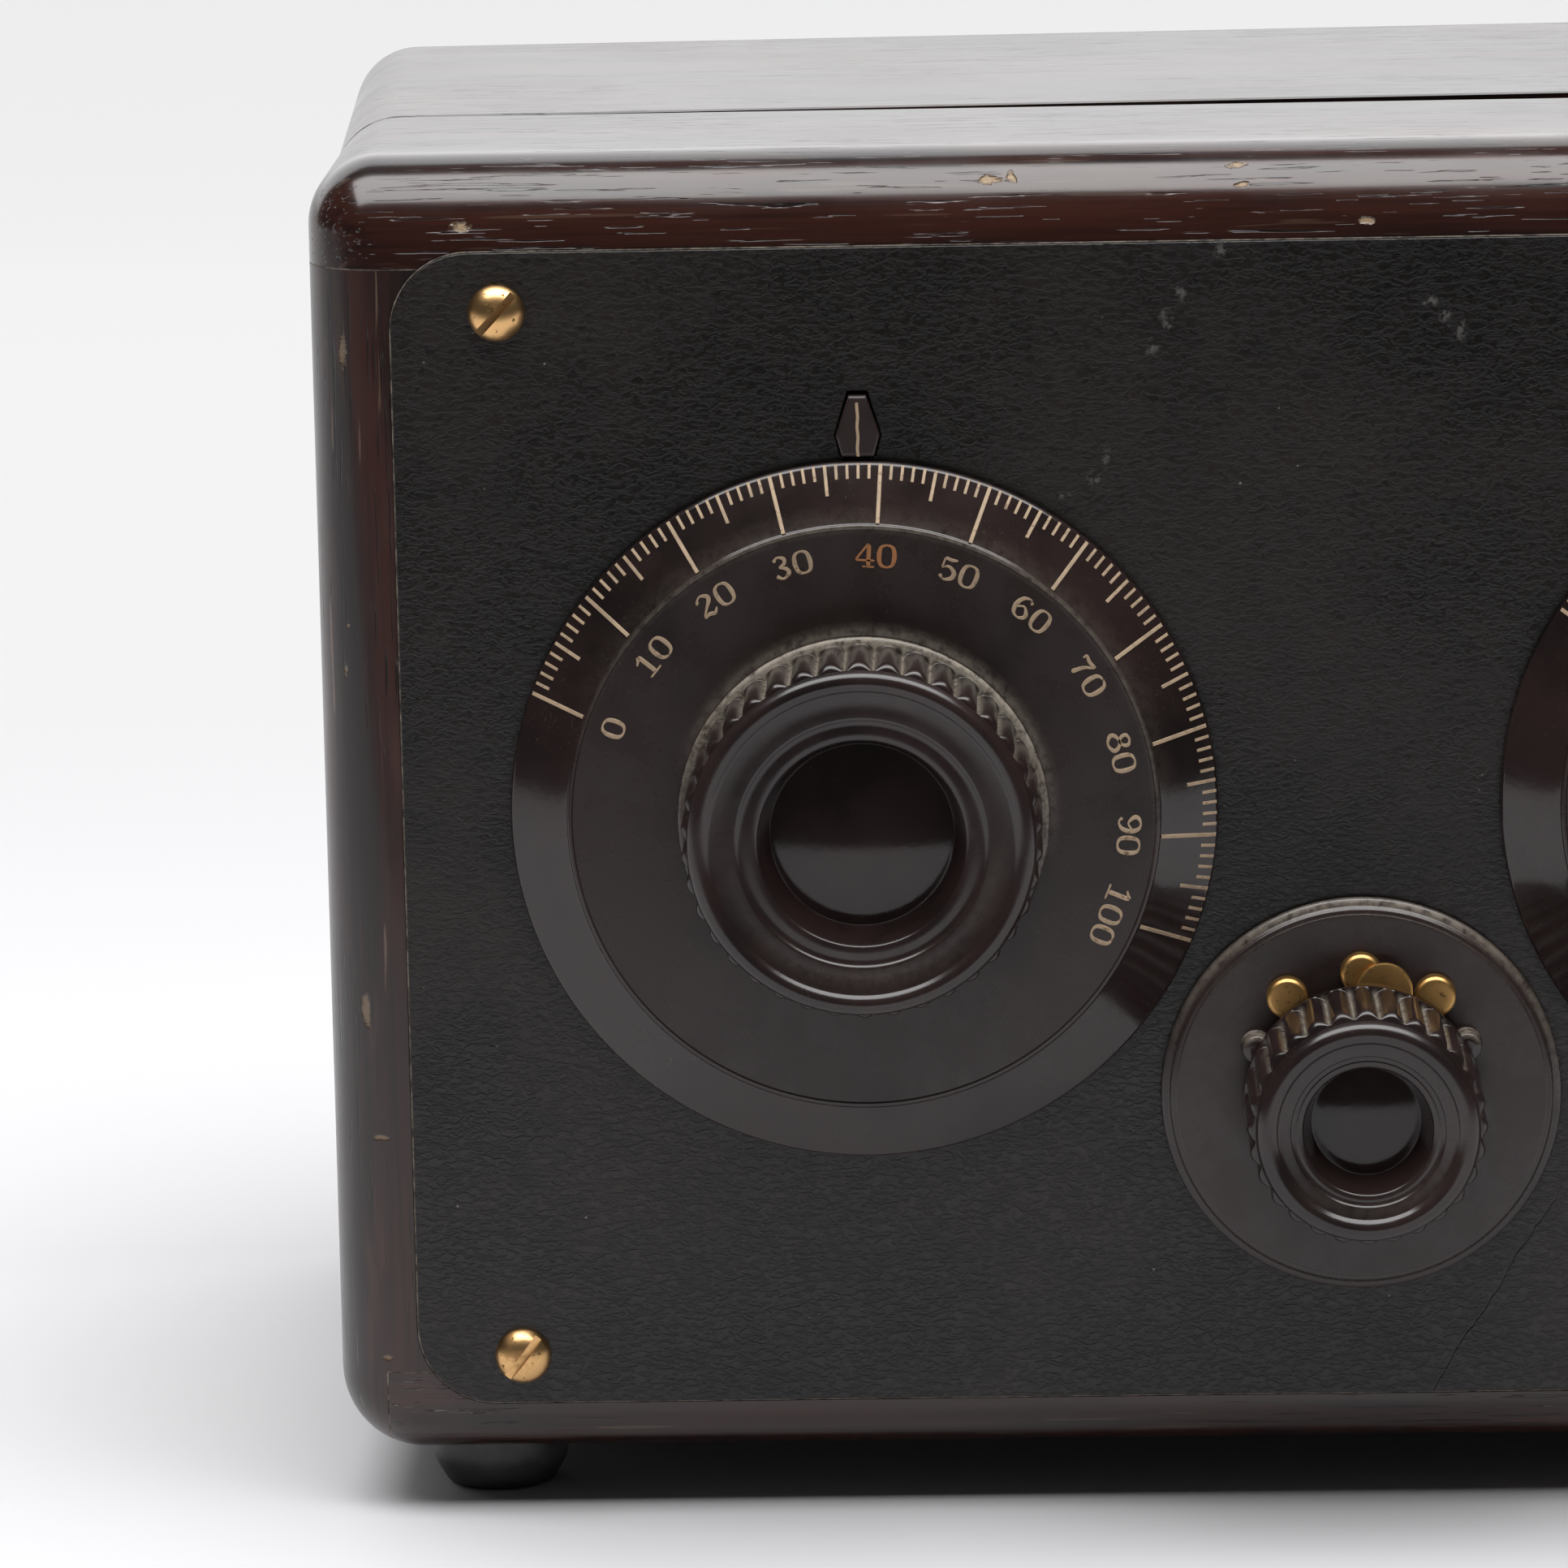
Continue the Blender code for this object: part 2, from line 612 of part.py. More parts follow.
def stator(side, centre):
    """Half-ring vanes below the spindle, held by three posts."""
    depths, _ = vane_heights()
    inner = HUB_RADIUS + 0.003
    outline = arc(0, 0, STATOR_RADIUS, 180, 360, 10) + arc(0, 0, inner, 360, 180, 5)
    meshes = [plate_mesh("vane", outline, -depth - VANE / 2, -depth + VANE / 2) for depth in depths]
    start = -CONDENSER_FRONT - CONDENSER_PLATE - JOINT_GAP
    end = -CONDENSER_BACK + JOINT_GAP
    post_circle = STATOR_RADIUS - 0.0024
    first = rod_mesh("stator", 0.0014, end, start, 8)
    angles = (204, 270, 336)
    places = [(post_circle * math.cos(math.radians(a)), post_circle * math.sin(math.radians(a)))
              for a in angles]
    first.transform(Matrix.Translation((*places[0], 0)))
    body = add(f"condenser_{side}_stator", first, ALUMINIUM, centre, ROOT, (FACE_FRONT, 0, 0))
    tools = [tool(f"stator_{side}_vane_{index}", mesh, centre, ROOT)
             for index, mesh in enumerate(meshes)]
    for number, place in enumerate(places[1:]):
        mesh = rod_mesh("post", 0.0014, end, start, 8)
        mesh.transform(Matrix.Translation((*place, 0)))
        tools.append(tool(f"stator_{side}_post_{number}", mesh, centre, ROOT))
    combine(body, tools, "UNION")


def rotor(side, centre):
    """Half-disc vanes and their hub on the spindle, turned in by the dial's reading."""
    depths, pitch = vane_heights()
    turn = math.radians(-READING[side] * DEGREES_PER_DIVISION)
    rotation = (FACE_FRONT, turn, 0)
    length = CONDENSER_BACK + 2 * CONDENSER_PLATE
    spindle = rod_mesh("spindle", SPINDLE_RADIUS, -length, SPINDLE_END)
    body = add(f"rotor_{side}", spindle, ALUMINIUM, centre, ROOT, rotation)
    hub_ends = (-depths[-1], -depths[0])
    tools = [tool(f"rotor_{side}_hub", rod_mesh("hub", HUB_RADIUS, *hub_ends), centre, ROOT, rotation)]
    outline = arc(0, 0, ROTOR_RADIUS, 0, 180, 10)
    for index, depth in enumerate(depths[:-1]):
        middle = -depth - pitch / 2
        mesh = plate_mesh("vane", outline, middle - VANE / 2, middle + VANE / 2)
        tools.append(tool(f"rotor_{side}_vane_{index}", mesh, centre, ROOT, rotation))
    combine(body, tools, "UNION")


def condensers():
    for side, x in DIAL_X.items():
        centre = (x, 0, DIAL_HEIGHT)
        condenser_plates(side, centre)
        stator(side, centre)
        rotor(side, centre)


# ---------------------------------------------------------------- selector switch

SWITCH_CENTRE = (0, 0, SWITCH_HEIGHT)
WIPER_LOW = SWITCH_BASE + STUD_HEIGHT + JOINT_GAP
WIPER_HIGH = WIPER_LOW + WIPER_THICKNESS
SWITCH_KNOB_SEAT = WIPER_HIGH + JOINT_GAP


def switch_base():
    """A disc with a raised bead at its rim, two stop posts and holes for the studs."""
    low = JOINT_GAP
    profile = [
        (BORE, SWITCH_BASE), (SWITCH_RADIUS * 0.92, SWITCH_BASE), (SWITCH_RADIUS * 0.965, SWITCH_BASE * 1.25),
        (SWITCH_RADIUS, SWITCH_BASE * 0.8), (SWITCH_RADIUS, low), (BORE, low),
    ]
    base = turned("switch_base", profile, BAKELITE, SWITCH_CENTRE, ROOT, ring=True)
    posts = [
        tool(f"stop_{index}", rod_mesh("stop", STOP_RADIUS, SWITCH_BASE / 2, WIPER_HIGH, 14),
             (x, 0, z), ROOT)
        for index, (x, z) in enumerate(stud_places((-STOP_ANGLE, STOP_ANGLE), STOP_CIRCLE))
    ]
    combine(base, posts, "UNION")
    holes = [c for c in CUTTERS.objects if c.name.startswith("stud_hole")]
    combine(base, sorted(holes, key=lambda c: c.name), "DIFFERENCE")


def switch_studs():
    top, seat = SWITCH_BASE + STUD_HEIGHT, SWITCH_BASE + JOINT_GAP
    end = -PANEL_THICKNESS - 0.003
    profile = [
        (0, top), (STUD_RADIUS * 0.8, top), (STUD_RADIUS, top - 0.0005), (STUD_RADIUS, seat),
        (STUD_SHANK, seat), (STUD_SHANK, end), (0, end),
    ]
    for number, (x, z) in enumerate(STUDS, 1):
        smooth(turned(f"switch_stud_{number}", profile, BRASS, (x, 0, z), ROOT, steps=12))


def switch_wiper():
    """A spindle with a round-ended arm over the studs."""
    lean = math.degrees(math.asin((WIPER_HUB - WIPER_END) / STUD_CIRCLE))
    outline = arc(0, STUD_CIRCLE, WIPER_END, lean, 180 - lean, 8)
    outline += arc(0, 0, WIPER_HUB, 180 - lean, 360 + lean, 12)
    rotation = (FACE_FRONT, math.radians(WIPER_ANGLE), 0)
    arm = plate_mesh("switch_wiper", outline, WIPER_LOW, WIPER_HIGH)
    body = add("switch_wiper", arm, BRASS, SWITCH_CENTRE, ROOT, rotation)
    length = PANEL_THICKNESS + 0.005
    spindle = rod_mesh("spindle", SPINDLE_RADIUS, -length, SWITCH_KNOB_WELL - 0.0035)
    combine(body, [tool("wiper_spindle", spindle, SWITCH_CENTRE, ROOT, rotation)], "UNION")


def switch_knob():
    profile = knob_profile(SWITCH_KNOB_RADIUS * 1.04, SWITCH_KNOB_RADIUS, SWITCH_KNOB_LIP, 0.0088,
                           SWITCH_KNOB_TOP, SWITCH_KNOB_WELL, SWITCH_KNOB_SEAT, SWITCH_KNOB_WELL - 0.0035)
    smooth(turned("switch_knob", profile, BAKELITE, SWITCH_CENTRE, ROOT, steps=28))


# ---------------------------------------------------------------- coil

FLOOR = CABINET_BOTTOM + WALL + JOINT_GAP


def coil():
    plug = COIL_RADIUS - COIL_WALL - JOINT_GAP
    low = COIL_BASE_TOP + JOINT_GAP
    high = low + COIL_LENGTH
    centre = (0, COIL_Y, 0)
    flange_base = LEDGE_BOTTOM + JOINT_GAP
    foot_radius = COIL_Y - LEDGE_BACK - 4 * JOINT_GAP
    base = [
        (0, low + 0.010), (plug, low + 0.010), (plug, COIL_BASE_TOP),
        (COIL_RADIUS + 0.0025, COIL_BASE_TOP), (COIL_RADIUS + 0.0025, flange_base),
        (foot_radius, flange_base), (foot_radius, FLOOR), (0, FLOOR),
    ]
    inner, bottom, top = COIL_RADIUS - COIL_WALL, low + WINDING_MARGIN, high - WINDING_MARGIN
    former = [(inner, high), (COIL_RADIUS, high), (COIL_RADIUS, low), (inner, low)]
    wire_inner = COIL_RADIUS + JOINT_GAP
    winding = [
        (wire_inner, top), (wire_inner + WIRE_BUILD, top), (wire_inner + WIRE_BUILD, bottom),
        (wire_inner, bottom),
    ]
    upright = (0, 0, 0)
    smooth(turned("coil_base", base, MAHOGANY, centre, ROOT, upright, 28))
    smooth(turned("coil_former", former, CARD, centre, ROOT, upright, ring=True))
    smooth(turned("coil_winding", winding, COPPER, centre, ROOT, upright, ring=True))


# ---------------------------------------------------------------- crystal detector

CUP_X = DETECTOR_X - DETECTOR_SPAN / 2
BALL_X = DETECTOR_X + DETECTOR_SPAN / 2
DETECTOR_TOP = FLOOR + DETECTOR_BASE
ARM_Z = DETECTOR_TOP + ARM_ABOVE_BASE
BALL_PIVOT = (BALL_X, DETECTOR_Y, ARM_Z)


def detector():
    """A cup with its crystal, and a ball on a post that holds the sliding cat's-whisker arm."""
    half, width = DETECTOR_LENGTH / 2, DETECTOR_WIDTH / 2
    base = box("detector_base", (DETECTOR_X - half, DETECTOR_Y - width, FLOOR),
               (DETECTOR_X + half, DETECTOR_Y + width, DETECTOR_TOP), BAKELITE, ROOT)
    upright = (0, 0, 0)
    post_top = ARM_Z - BALL_RADIUS - JOINT_GAP
    post = rod_mesh("post", 0.0028, FLOOR + DETECTOR_BASE / 2, post_top, 16)
    combine(base, [tool("detector_post", post, (BALL_X, DETECTOR_Y, 0), ROOT, upright)], "UNION")
    seat = DETECTOR_TOP + JOINT_GAP
    rim, cup_floor = seat + CUP_HEIGHT, seat + CUP_HEIGHT - 0.006
    cup_inner = CUP_RADIUS - 0.0012
    cup = [(0, cup_floor), (cup_inner, cup_floor), (cup_inner, rim), (CUP_RADIUS, rim), (CUP_RADIUS, seat),
           (0, seat)]
    smooth(turned("crystal_cup", cup, BRASS, (CUP_X, DETECTOR_Y, 0), ROOT, upright, SMALL_ROUND))
    bm = bmesh.new()
    bmesh.ops.create_icosphere(bm, subdivisions=1, radius=CRYSTAL_RADIUS)
    mesh = bpy.data.meshes.new("crystal")
    bm.to_mesh(mesh)
    bm.free()
    crystal_z = cup_floor + CRYSTAL_RADIUS + JOINT_GAP
    add("crystal", mesh, GALENA, (CUP_X, DETECTOR_Y, crystal_z), ROOT)
    detector_arm(crystal_z + CRYSTAL_RADIUS + JOINT_GAP)


def detector_arm(tip_z):
    bm = bmesh.new()
    bmesh.ops.create_uvsphere(bm, u_segments=12, v_segments=8, radius=BALL_RADIUS)
    mesh = bpy.data.meshes.new("ball")
    bm.to_mesh(mesh)
    bm.free()
    ball = add("detector_ball", mesh, BRASS, BALL_PIVOT, ROOT)
    along_x = (0, math.radians(90), 0)
    bore = rod_mesh("bore", ARM_RADIUS + RUNNING_CLEARANCE, -2 * BALL_RADIUS, 2 * BALL_RADIUS, 12)
    combine(ball, [tool("ball_bore", bore, BALL_PIVOT, ROOT, along_x)], "DIFFERENCE")
    reach, tail = DETECTOR_SPAN, 0.012
    rod = rod_mesh("rod", ARM_RADIUS, -reach, tail, 10)
    arm = add("detector_arm", rod, BRASS, BALL_PIVOT, ROOT, along_x)
    grip = rod_mesh("grip", 0.0045, tail - 0.001, tail + 0.009, 16)
    whisker = rod_mesh("whisker", 0.0004, tip_z - ARM_Z, 0, 8)
    combine(arm, [
        tool("arm_grip", grip, BALL_PIVOT, ROOT, along_x),
        tool("arm_whisker", whisker, (BALL_X - reach + 0.0008, DETECTOR_Y, ARM_Z), ROOT, (0, 0, 0)),
    ], "UNION")


# ---------------------------------------------------------------- terminals

TERMINAL_Y = FRONT_DEPTH / 2 + TERMINAL_BEHIND_MIDDLE
STRIP_FACE = HALF + JOINT_GAP + STRIP_THICKNESS
TO_RIGHT = (0, math.radians(90), 0)


def terminals():
    """Aerial, earth and two phone terminals on a strip on the right-hand side."""
    heights = [MID_HEIGHT + TERMINAL_PITCH * (index - (TERMINAL_COUNT - 1) / 2)
               for index in range(TERMINAL_COUNT)]
    margin = TERMINAL_PITCH / 2 + 0.002
    strip = box("terminal_strip", (HALF + JOINT_GAP, TERMINAL_Y - STRIP_WIDTH / 2, heights[0] - margin),
                (STRIP_FACE, TERMINAL_Y + STRIP_WIDTH / 2, heights[-1] + margin), BAKELITE, ROOT)
    seat, tail = JOINT_GAP, -WALL - STRIP_THICKNESS - 0.008
    post = [
        (0, POST_LENGTH), (POST_RADIUS * 0.7, POST_LENGTH), (POST_RADIUS, POST_LENGTH - 0.0006),
        (POST_RADIUS, seat + 0.002), (POST_FLANGE, seat + 0.002), (POST_FLANGE, seat),
        (POST_RADIUS, seat), (POST_RADIUS, tail), (0, tail),
    ]
    nut_low = seat + 0.0035
    nut = [
        (POST_RADIUS + RUNNING_CLEARANCE, nut_low + NUT_LENGTH), (NUT_RADIUS * 0.8, nut_low + NUT_LENGTH),
        (NUT_RADIUS, nut_low + NUT_LENGTH * 0.8), (NUT_RADIUS, nut_low),
        (POST_RADIUS + RUNNING_CLEARANCE, nut_low),
    ]
    names = ("earth", "phones_low", "phones_high", "aerial")
    cutters = []
    for name, z in zip(names, heights):
        place = (STRIP_FACE, TERMINAL_Y, z)
        smooth(turned(f"terminal_{name}", post, BRASS, place, ROOT, TO_RIGHT, 12))
        smooth(turned(f"nut_{name}", nut, BRASS, place, ROOT, TO_RIGHT, 12, ring=True))
        hole = rod_mesh("hole", POST_RADIUS + JOINT_GAP, -0.040, 0.004, 16)
        cutters.append(tool(f"terminal_hole_{name}", hole, place, ROOT, TO_RIGHT))
    combine(strip, cutters, "DIFFERENCE")
    combine(bpy.data.objects["front_right_stile"], cutters, "DIFFERENCE")


def aerial_wire():
    """Bus wire from the aerial terminal across to the top of the coil."""
    z = MID_HEIGHT + TERMINAL_PITCH * (TERMINAL_COUNT - 1) / 2
    inside = STRIP_FACE - WALL - STRIP_THICKNESS - 0.008 - JOINT_GAP
    radius = 0.0008
    lead_z = max(z, DIAL_HEIGHT + CONDENSER_PLATE_RADIUS) + 0.006
    coil_edge = COIL_RADIUS + WIRE_BUILD + 2 * JOINT_GAP + radius
    route = [
        (inside - radius, TERMINAL_Y, z), (inside - 0.006, TERMINAL_Y, z),
        (inside - 0.009, TERMINAL_Y, z + 0.003), (inside - 0.009, TERMINAL_Y, lead_z - 0.003),
        (inside - 0.012, TERMINAL_Y, lead_z), (coil_edge + 0.004, COIL_Y, lead_z),
        (coil_edge, COIL_Y, lead_z - 0.004), (coil_edge, COIL_Y, lead_z - 0.014),
    ]
    curve = bpy.data.curves.new("aerial_wire", "CURVE")
    curve.dimensions = "3D"
    curve.bevel_depth = radius
    curve.bevel_resolution = 1
    curve.use_fill_caps = True
    curve.materials.append(COPPER)
    spline = curve.splines.new("POLY")
    spline.points.add(len(route) - 1)
    for point, place in zip(spline.points, route):
        point.co = (*place, 1)
    wire = bpy.data.objects.new("aerial_wire", curve)
    put(wire, (0, 0, 0), ROOT)
    PARTS.objects.link(wire)


# ---------------------------------------------------------------- hinge and hook

def hinge():
    """A long strip hinge on the left side; the fixed leaf carries the pin and every other knuckle."""
    pitch = HINGE_LENGTH / KNUCKLES
    start = MID_HEIGHT - HINGE_LENGTH / 2
    near, far = -HALF - JOINT_GAP - LEAF, -HALF - JOINT_GAP
    axis = (HINGE_X, HINGE_Y, 0)
    upright = (0, 0, 0)
    gap = KNUCKLE_RADIUS + 2 * JOINT_GAP
    low, high = start, start + HINGE_LENGTH
    fixed = box("hinge_leaf_fixed", (near, HINGE_Y - LEAF_WIDTH, low), (far, HINGE_Y - gap, high), BRASS,
                ROOT)
    moving = box("hinge_leaf_moving", (near, HINGE_Y + gap, low), (far, HINGE_Y + LEAF_WIDTH, high), BRASS,
                 COVER)
    bore = [tool("hinge_bore", rod_mesh("bore", PIN_RADIUS + RUNNING_CLEARANCE, low - 0.01, high + 0.01, 12),
                 axis, COVER, upright)]
    pin = tool("hinge_pin", rod_mesh("pin", PIN_RADIUS, low + 0.001, high - 0.001, 12), axis, ROOT, upright)
    joined = {"fixed": [], "moving": []}
    for index in range(KNUCKLES):
        kind, parent, sign = (("fixed", ROOT, -1), ("moving", COVER, 1))[index % 2]
        bottom = start + pitch * index + JOINT_GAP / 2
        top = bottom + pitch - JOINT_GAP
        knuckle = rod_mesh("knuckle", KNUCKLE_RADIUS, bottom, top, 14)
        joined[kind].append(tool(f"knuckle_{index}", knuckle, axis, parent, upright))
        ends = sorted((HINGE_Y, HINGE_Y + sign * (gap + 0.001)))
        joined[kind].append(box(f"knuckle_web_{index}", (near, ends[0], bottom), (far, ends[1], top), None,
                                parent, CUTTERS))
    combine(fixed, joined["fixed"] + [pin], "UNION")
    combine(moving, joined["moving"], "UNION")
    combine(moving, bore, "DIFFERENCE")


def hook():
    """A hanging hook on the cover and the stud that it drops over, on the right-hand side."""
    face = HALF + JOINT_GAP
    pivot_y = COVER_FRONT + 0.010
    stud_y = FRONT_DEPTH - 0.009
    stud = [(0, 0.006), (0.0024, 0.006), (0.0024, 0.0048), (0.0014, 0.0044), (0.0014, 0), (0, 0)]
    turned("hook_stud", stud, BRASS, (face, stud_y, HOOK_HEIGHT), ROOT, TO_RIGHT, 14)
    place = (face, pivot_y, HOOK_HEIGHT)
    reach, eye_radius, inner = pivot_y - stud_y, 0.0040, 0.0021
    low, high = 0.0006, 0.0028
    body = add("cover_hook", rod_mesh("cover_hook", eye_radius, low, high, 16), BRASS, place, COVER,
               TO_RIGHT)
    strip = [(0.002, -HOOK_RADIUS), (reach - 0.0025, -HOOK_RADIUS), (reach - 0.0025, HOOK_RADIUS),
             (0.002, HOOK_RADIUS)]
    curl = arc(reach, 0, eye_radius, 180, 360, 10) + arc(reach, 0, inner, 360, 180, 8)
    combine(body, [
        tool("hook_arm", plate_mesh("arm", strip, low, high), place, COVER, TO_RIGHT),
        tool("hook_curl", plate_mesh("curl", curl, low, high), place, COVER, TO_RIGHT),
    ], "UNION")


# ---------------------------------------------------------------- assembly

def stand_on_origin():
    """Moves the whole set so that the middle of its base is at the origin."""
    bpy.context.view_layer.update()
    graph = bpy.context.evaluated_depsgraph_get()
    points = []
    for obj in PARTS.objects:
        if obj.type == "EMPTY":
            continue
        evaluated = obj.evaluated_get(graph)
        mesh = evaluated.to_mesh()
        points += [evaluated.matrix_world @ vert.co for vert in mesh.vertices]
        evaluated.to_mesh_clear()
    low = [min(point[i] for point in points) for i in range(3)]
    high = [max(point[i] for point in points) for i in range(3)]
    ROOT.location = (-(low[0] + high[0]) / 2, -(low[1] + high[1]) / 2, -low[2])
    print("root at", tuple(round(v, 6) for v in ROOT.location), "size",
          [round(b - a, 5) for a, b in zip(low, high)])


front_section()
rear_cover()
feet()
front_panel()
panel_screws()
pointers()
dials()
condensers()
switch_base()
switch_studs()
switch_wiper()
switch_knob()
coil()
detector()
terminals()
aerial_wire()
hinge()
hook()
stand_on_origin()
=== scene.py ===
import json
import math

import bmesh
import bpy
import numpy as np
from mathutils import Matrix, Quaternion, Vector


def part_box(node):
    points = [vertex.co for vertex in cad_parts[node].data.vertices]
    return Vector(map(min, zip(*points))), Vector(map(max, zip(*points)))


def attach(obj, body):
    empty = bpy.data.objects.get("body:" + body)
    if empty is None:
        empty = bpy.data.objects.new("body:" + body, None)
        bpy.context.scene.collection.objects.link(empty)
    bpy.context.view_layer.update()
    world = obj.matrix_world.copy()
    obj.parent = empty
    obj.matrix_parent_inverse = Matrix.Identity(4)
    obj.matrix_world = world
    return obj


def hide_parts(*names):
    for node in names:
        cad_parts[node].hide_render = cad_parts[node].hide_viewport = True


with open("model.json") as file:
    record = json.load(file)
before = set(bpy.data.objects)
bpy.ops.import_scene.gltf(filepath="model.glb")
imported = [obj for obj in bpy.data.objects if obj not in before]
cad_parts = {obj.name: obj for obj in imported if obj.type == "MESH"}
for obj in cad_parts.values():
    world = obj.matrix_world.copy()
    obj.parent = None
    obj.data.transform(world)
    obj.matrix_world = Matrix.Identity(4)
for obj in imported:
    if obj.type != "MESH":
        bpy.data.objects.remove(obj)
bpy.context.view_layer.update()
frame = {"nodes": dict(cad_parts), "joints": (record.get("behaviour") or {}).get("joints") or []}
joints = {joint["name"]: joint for joint in frame["joints"]}
print("frame loaded:", len(frame["nodes"]), "nodes")

# One millimetre, and the two ways a turned piece can point
mm = 0.001
toFront = ((0, 0, 1), (1, 0, 0), (0, -1, 0))
toTop = ((1, 0, 0), (0, 1, 0), (0, 0, 1))


def middle(node):
    low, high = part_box(node)
    return (low + high) / 2


panelLow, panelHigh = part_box("front_panel")
faceY = panelLow.y
dialCentre = {side: Vector((middle(f"pointer_{side}").x, faceY, joints[f"{side}_dial_turn"]["pos_m"][2]))
              for side in ("left", "right")}
switchCentre = Vector((joints["selector_turn"]["pos_m"][0], faceY, joints["selector_turn"]["pos_m"][2]))
hinge = joints["cover_hinge"]
hingeAxis = Vector(hinge["pos_m"])
ajar = -math.radians(hinge["range_deg"][0])


camera = {"place": (-0.055424, -1.228040, 0.328169), "aim": (-0.02894, 0.98161, -0.18868),
          "roll": -1.135, "lens": 190.46, "sensor": 36.0}


def makeCamera():
    data = bpy.data.cameras.new("camera")
    data.lens, data.sensor_width = camera["lens"], camera["sensor"]
    data.clip_start, data.clip_end = 0.05, 30.0
    view = bpy.data.objects.new("camera", data)
    view.rotation_mode = "QUATERNION"
    aim = Vector(camera["aim"]).to_track_quat("-Z", "Y")
    view.rotation_quaternion = aim @ Quaternion((0, 0, 1), math.radians(camera["roll"]))
    view.location = camera["place"]
    bpy.context.scene.collection.objects.link(view)
    bpy.context.scene.camera = view


makeCamera()


# Gives each named or numbered input of a node a value or a socket.
def feed(tree, node, inputs):
    for key, value in inputs.items():
        if isinstance(value, bpy.types.NodeSocket):
            tree.links.new(value, node.inputs[key])
        else:
            node.inputs[key].default_value = value


# Adds a node with these settings and inputs.
def join(tree, kind, inputs=None, **settings):
    made = tree.nodes.new(kind)
    for key, value in settings.items():
        setattr(made, key, value)
    feed(tree, made, inputs or {})
    return made.outputs


def newMaterial(name):
    made = bpy.data.materials.new(name)
    made.use_nodes = True
    tree = made.node_tree
    shader = tree.nodes["Principled BSDF"]
    place = join(tree, "ShaderNodeTexCoord")["Object"]
    return made, tree, shader, place


def stretched(tree, place, scale, turn=(0, 0, 0)):
    return join(tree, "ShaderNodeMapping", {"Vector": place, "Scale": scale, "Rotation": turn})["Vector"]


def noise(tree, place, scale, detail=4.0, roughness=0.55, distortion=0.0):
    return join(tree, "ShaderNodeTexNoise", {"Vector": place, "Scale": scale, "Detail": detail,
                                             "Roughness": roughness, "Distortion": distortion})[0]


# Maps low..high smoothly onto to[0]..to[1] and clamps outside.
def between(tree, value, low, high, to=(0.0, 1.0)):
    return join(tree, "ShaderNodeMapRange", {"Value": value, "From Min": low, "From Max": high,
                                             "To Min": to[0], "To Max": to[1]},
                interpolation_type="SMOOTHSTEP")[0]


def calc(tree, operation, *values):
    return join(tree, "ShaderNodeMath", dict(enumerate(values)), operation=operation)[0]


# Colour mix: share 0 gives the first colour, 1 the second.
def mixed(tree, share, first, second):
    made = tree.nodes.new("ShaderNodeMix")
    made.data_type = "RGBA"
    for socket, value in ((made.inputs["Factor"], share), (made.inputs["A"], first),
                          (made.inputs["B"], second)):
        if isinstance(value, bpy.types.NodeSocket):
            tree.links.new(value, socket)
        elif isinstance(value, tuple):
            socket.default_value = (*value[:3], 1.0)
        else:
            socket.default_value = value
    return made.outputs["Result"]


def bumped(tree, height, distance, strength=1.0):
    return join(tree, "ShaderNodeBump",
                {"Height": height, "Distance": distance, "Strength": strength})["Normal"]


# Soft ellipses, one for each middle and half sizes, with edges made ragged by noise.
def spotMask(tree, place, spots, edge=0.35):
    ragged = join(tree, "ShaderNodeTexNoise", {"Vector": place, "Scale": 900.0, "Detail": 3.0})["Color"]
    shift = join(tree, "ShaderNodeVectorMath", {0: ragged, 1: (0.5, 0.5, 0.5)}, operation="SUBTRACT")[0]
    total = None
    for x, y, z, sizeX, sizeY, sizeZ in spots:
        away = join(tree, "ShaderNodeVectorMath", {0: place, 1: (x, y, z)}, operation="SUBTRACT")[0]
        away = join(tree, "ShaderNodeVectorMath", {0: away, 1: (1 / sizeX, 1 / sizeY, 1 / sizeZ)},
                    operation="MULTIPLY")[0]
        away = join(tree, "ShaderNodeVectorMath", {0: shift, 1: (1.6, 1.6, 1.6), 2: away},
                    operation="MULTIPLY_ADD")[0]
        far = join(tree, "ShaderNodeVectorMath", {0: away}, operation="LENGTH")["Value"]
        mask = between(tree, far, 1.0, 1.0 - edge)
        total = mask if total is None else calc(tree, "MAXIMUM", total, mask)
    return total


wood = {"dark": (0.0075, 0.0040, 0.0036), "red": (0.040, 0.0122, 0.0082), "pale": (0.30, 0.22, 0.15),
        "roughness": (0.15, 0.23), "relief": 0.09 * mm, "coat": 0.30, "coatRoughness": 0.10,
        "chip": (0.34, 0.24, 0.14), "rub": (0.075, 0.034, 0.026)}
# Places where the finish is knocked off the front's top edge: middle and half sizes, in metres
chips = [(-0.1331, -0.0752, 0.1866, 0.0017, 0.004, 0.0009), (-0.0590, -0.0735, 0.1918, 0.0020, 0.004, 0.0007),
         (-0.0245, -0.0730, 0.1932, 0.0018, 0.004, 0.0005), (-0.0238, -0.0740, 0.1906, 0.0012, 0.004, 0.0005),
         (-0.0066, -0.0755, 0.1856, 0.0013, 0.004, 0.0007), (-0.0560, -0.0738, 0.1921, 0.0009, 0.004, 0.0009)]
stileChips = [(-0.1503, -0.0747, 0.1690, 0.0007, 0.004, 0.0030),
              (-0.1496, -0.0747, 0.0745, 0.0008, 0.004, 0.0032),
              (-0.1512, -0.0745, 0.1235, 0.0004, 0.004, 0.0012),
              (-0.1480, -0.0750, 0.0560, 0.0014, 0.004, 0.0005),
              (-0.1506, -0.0747, 0.1300, 0.0003, 0.004, 0.0005),
              (-0.1478, -0.0750, 0.0235, 0.0009, 0.004, 0.0006)]
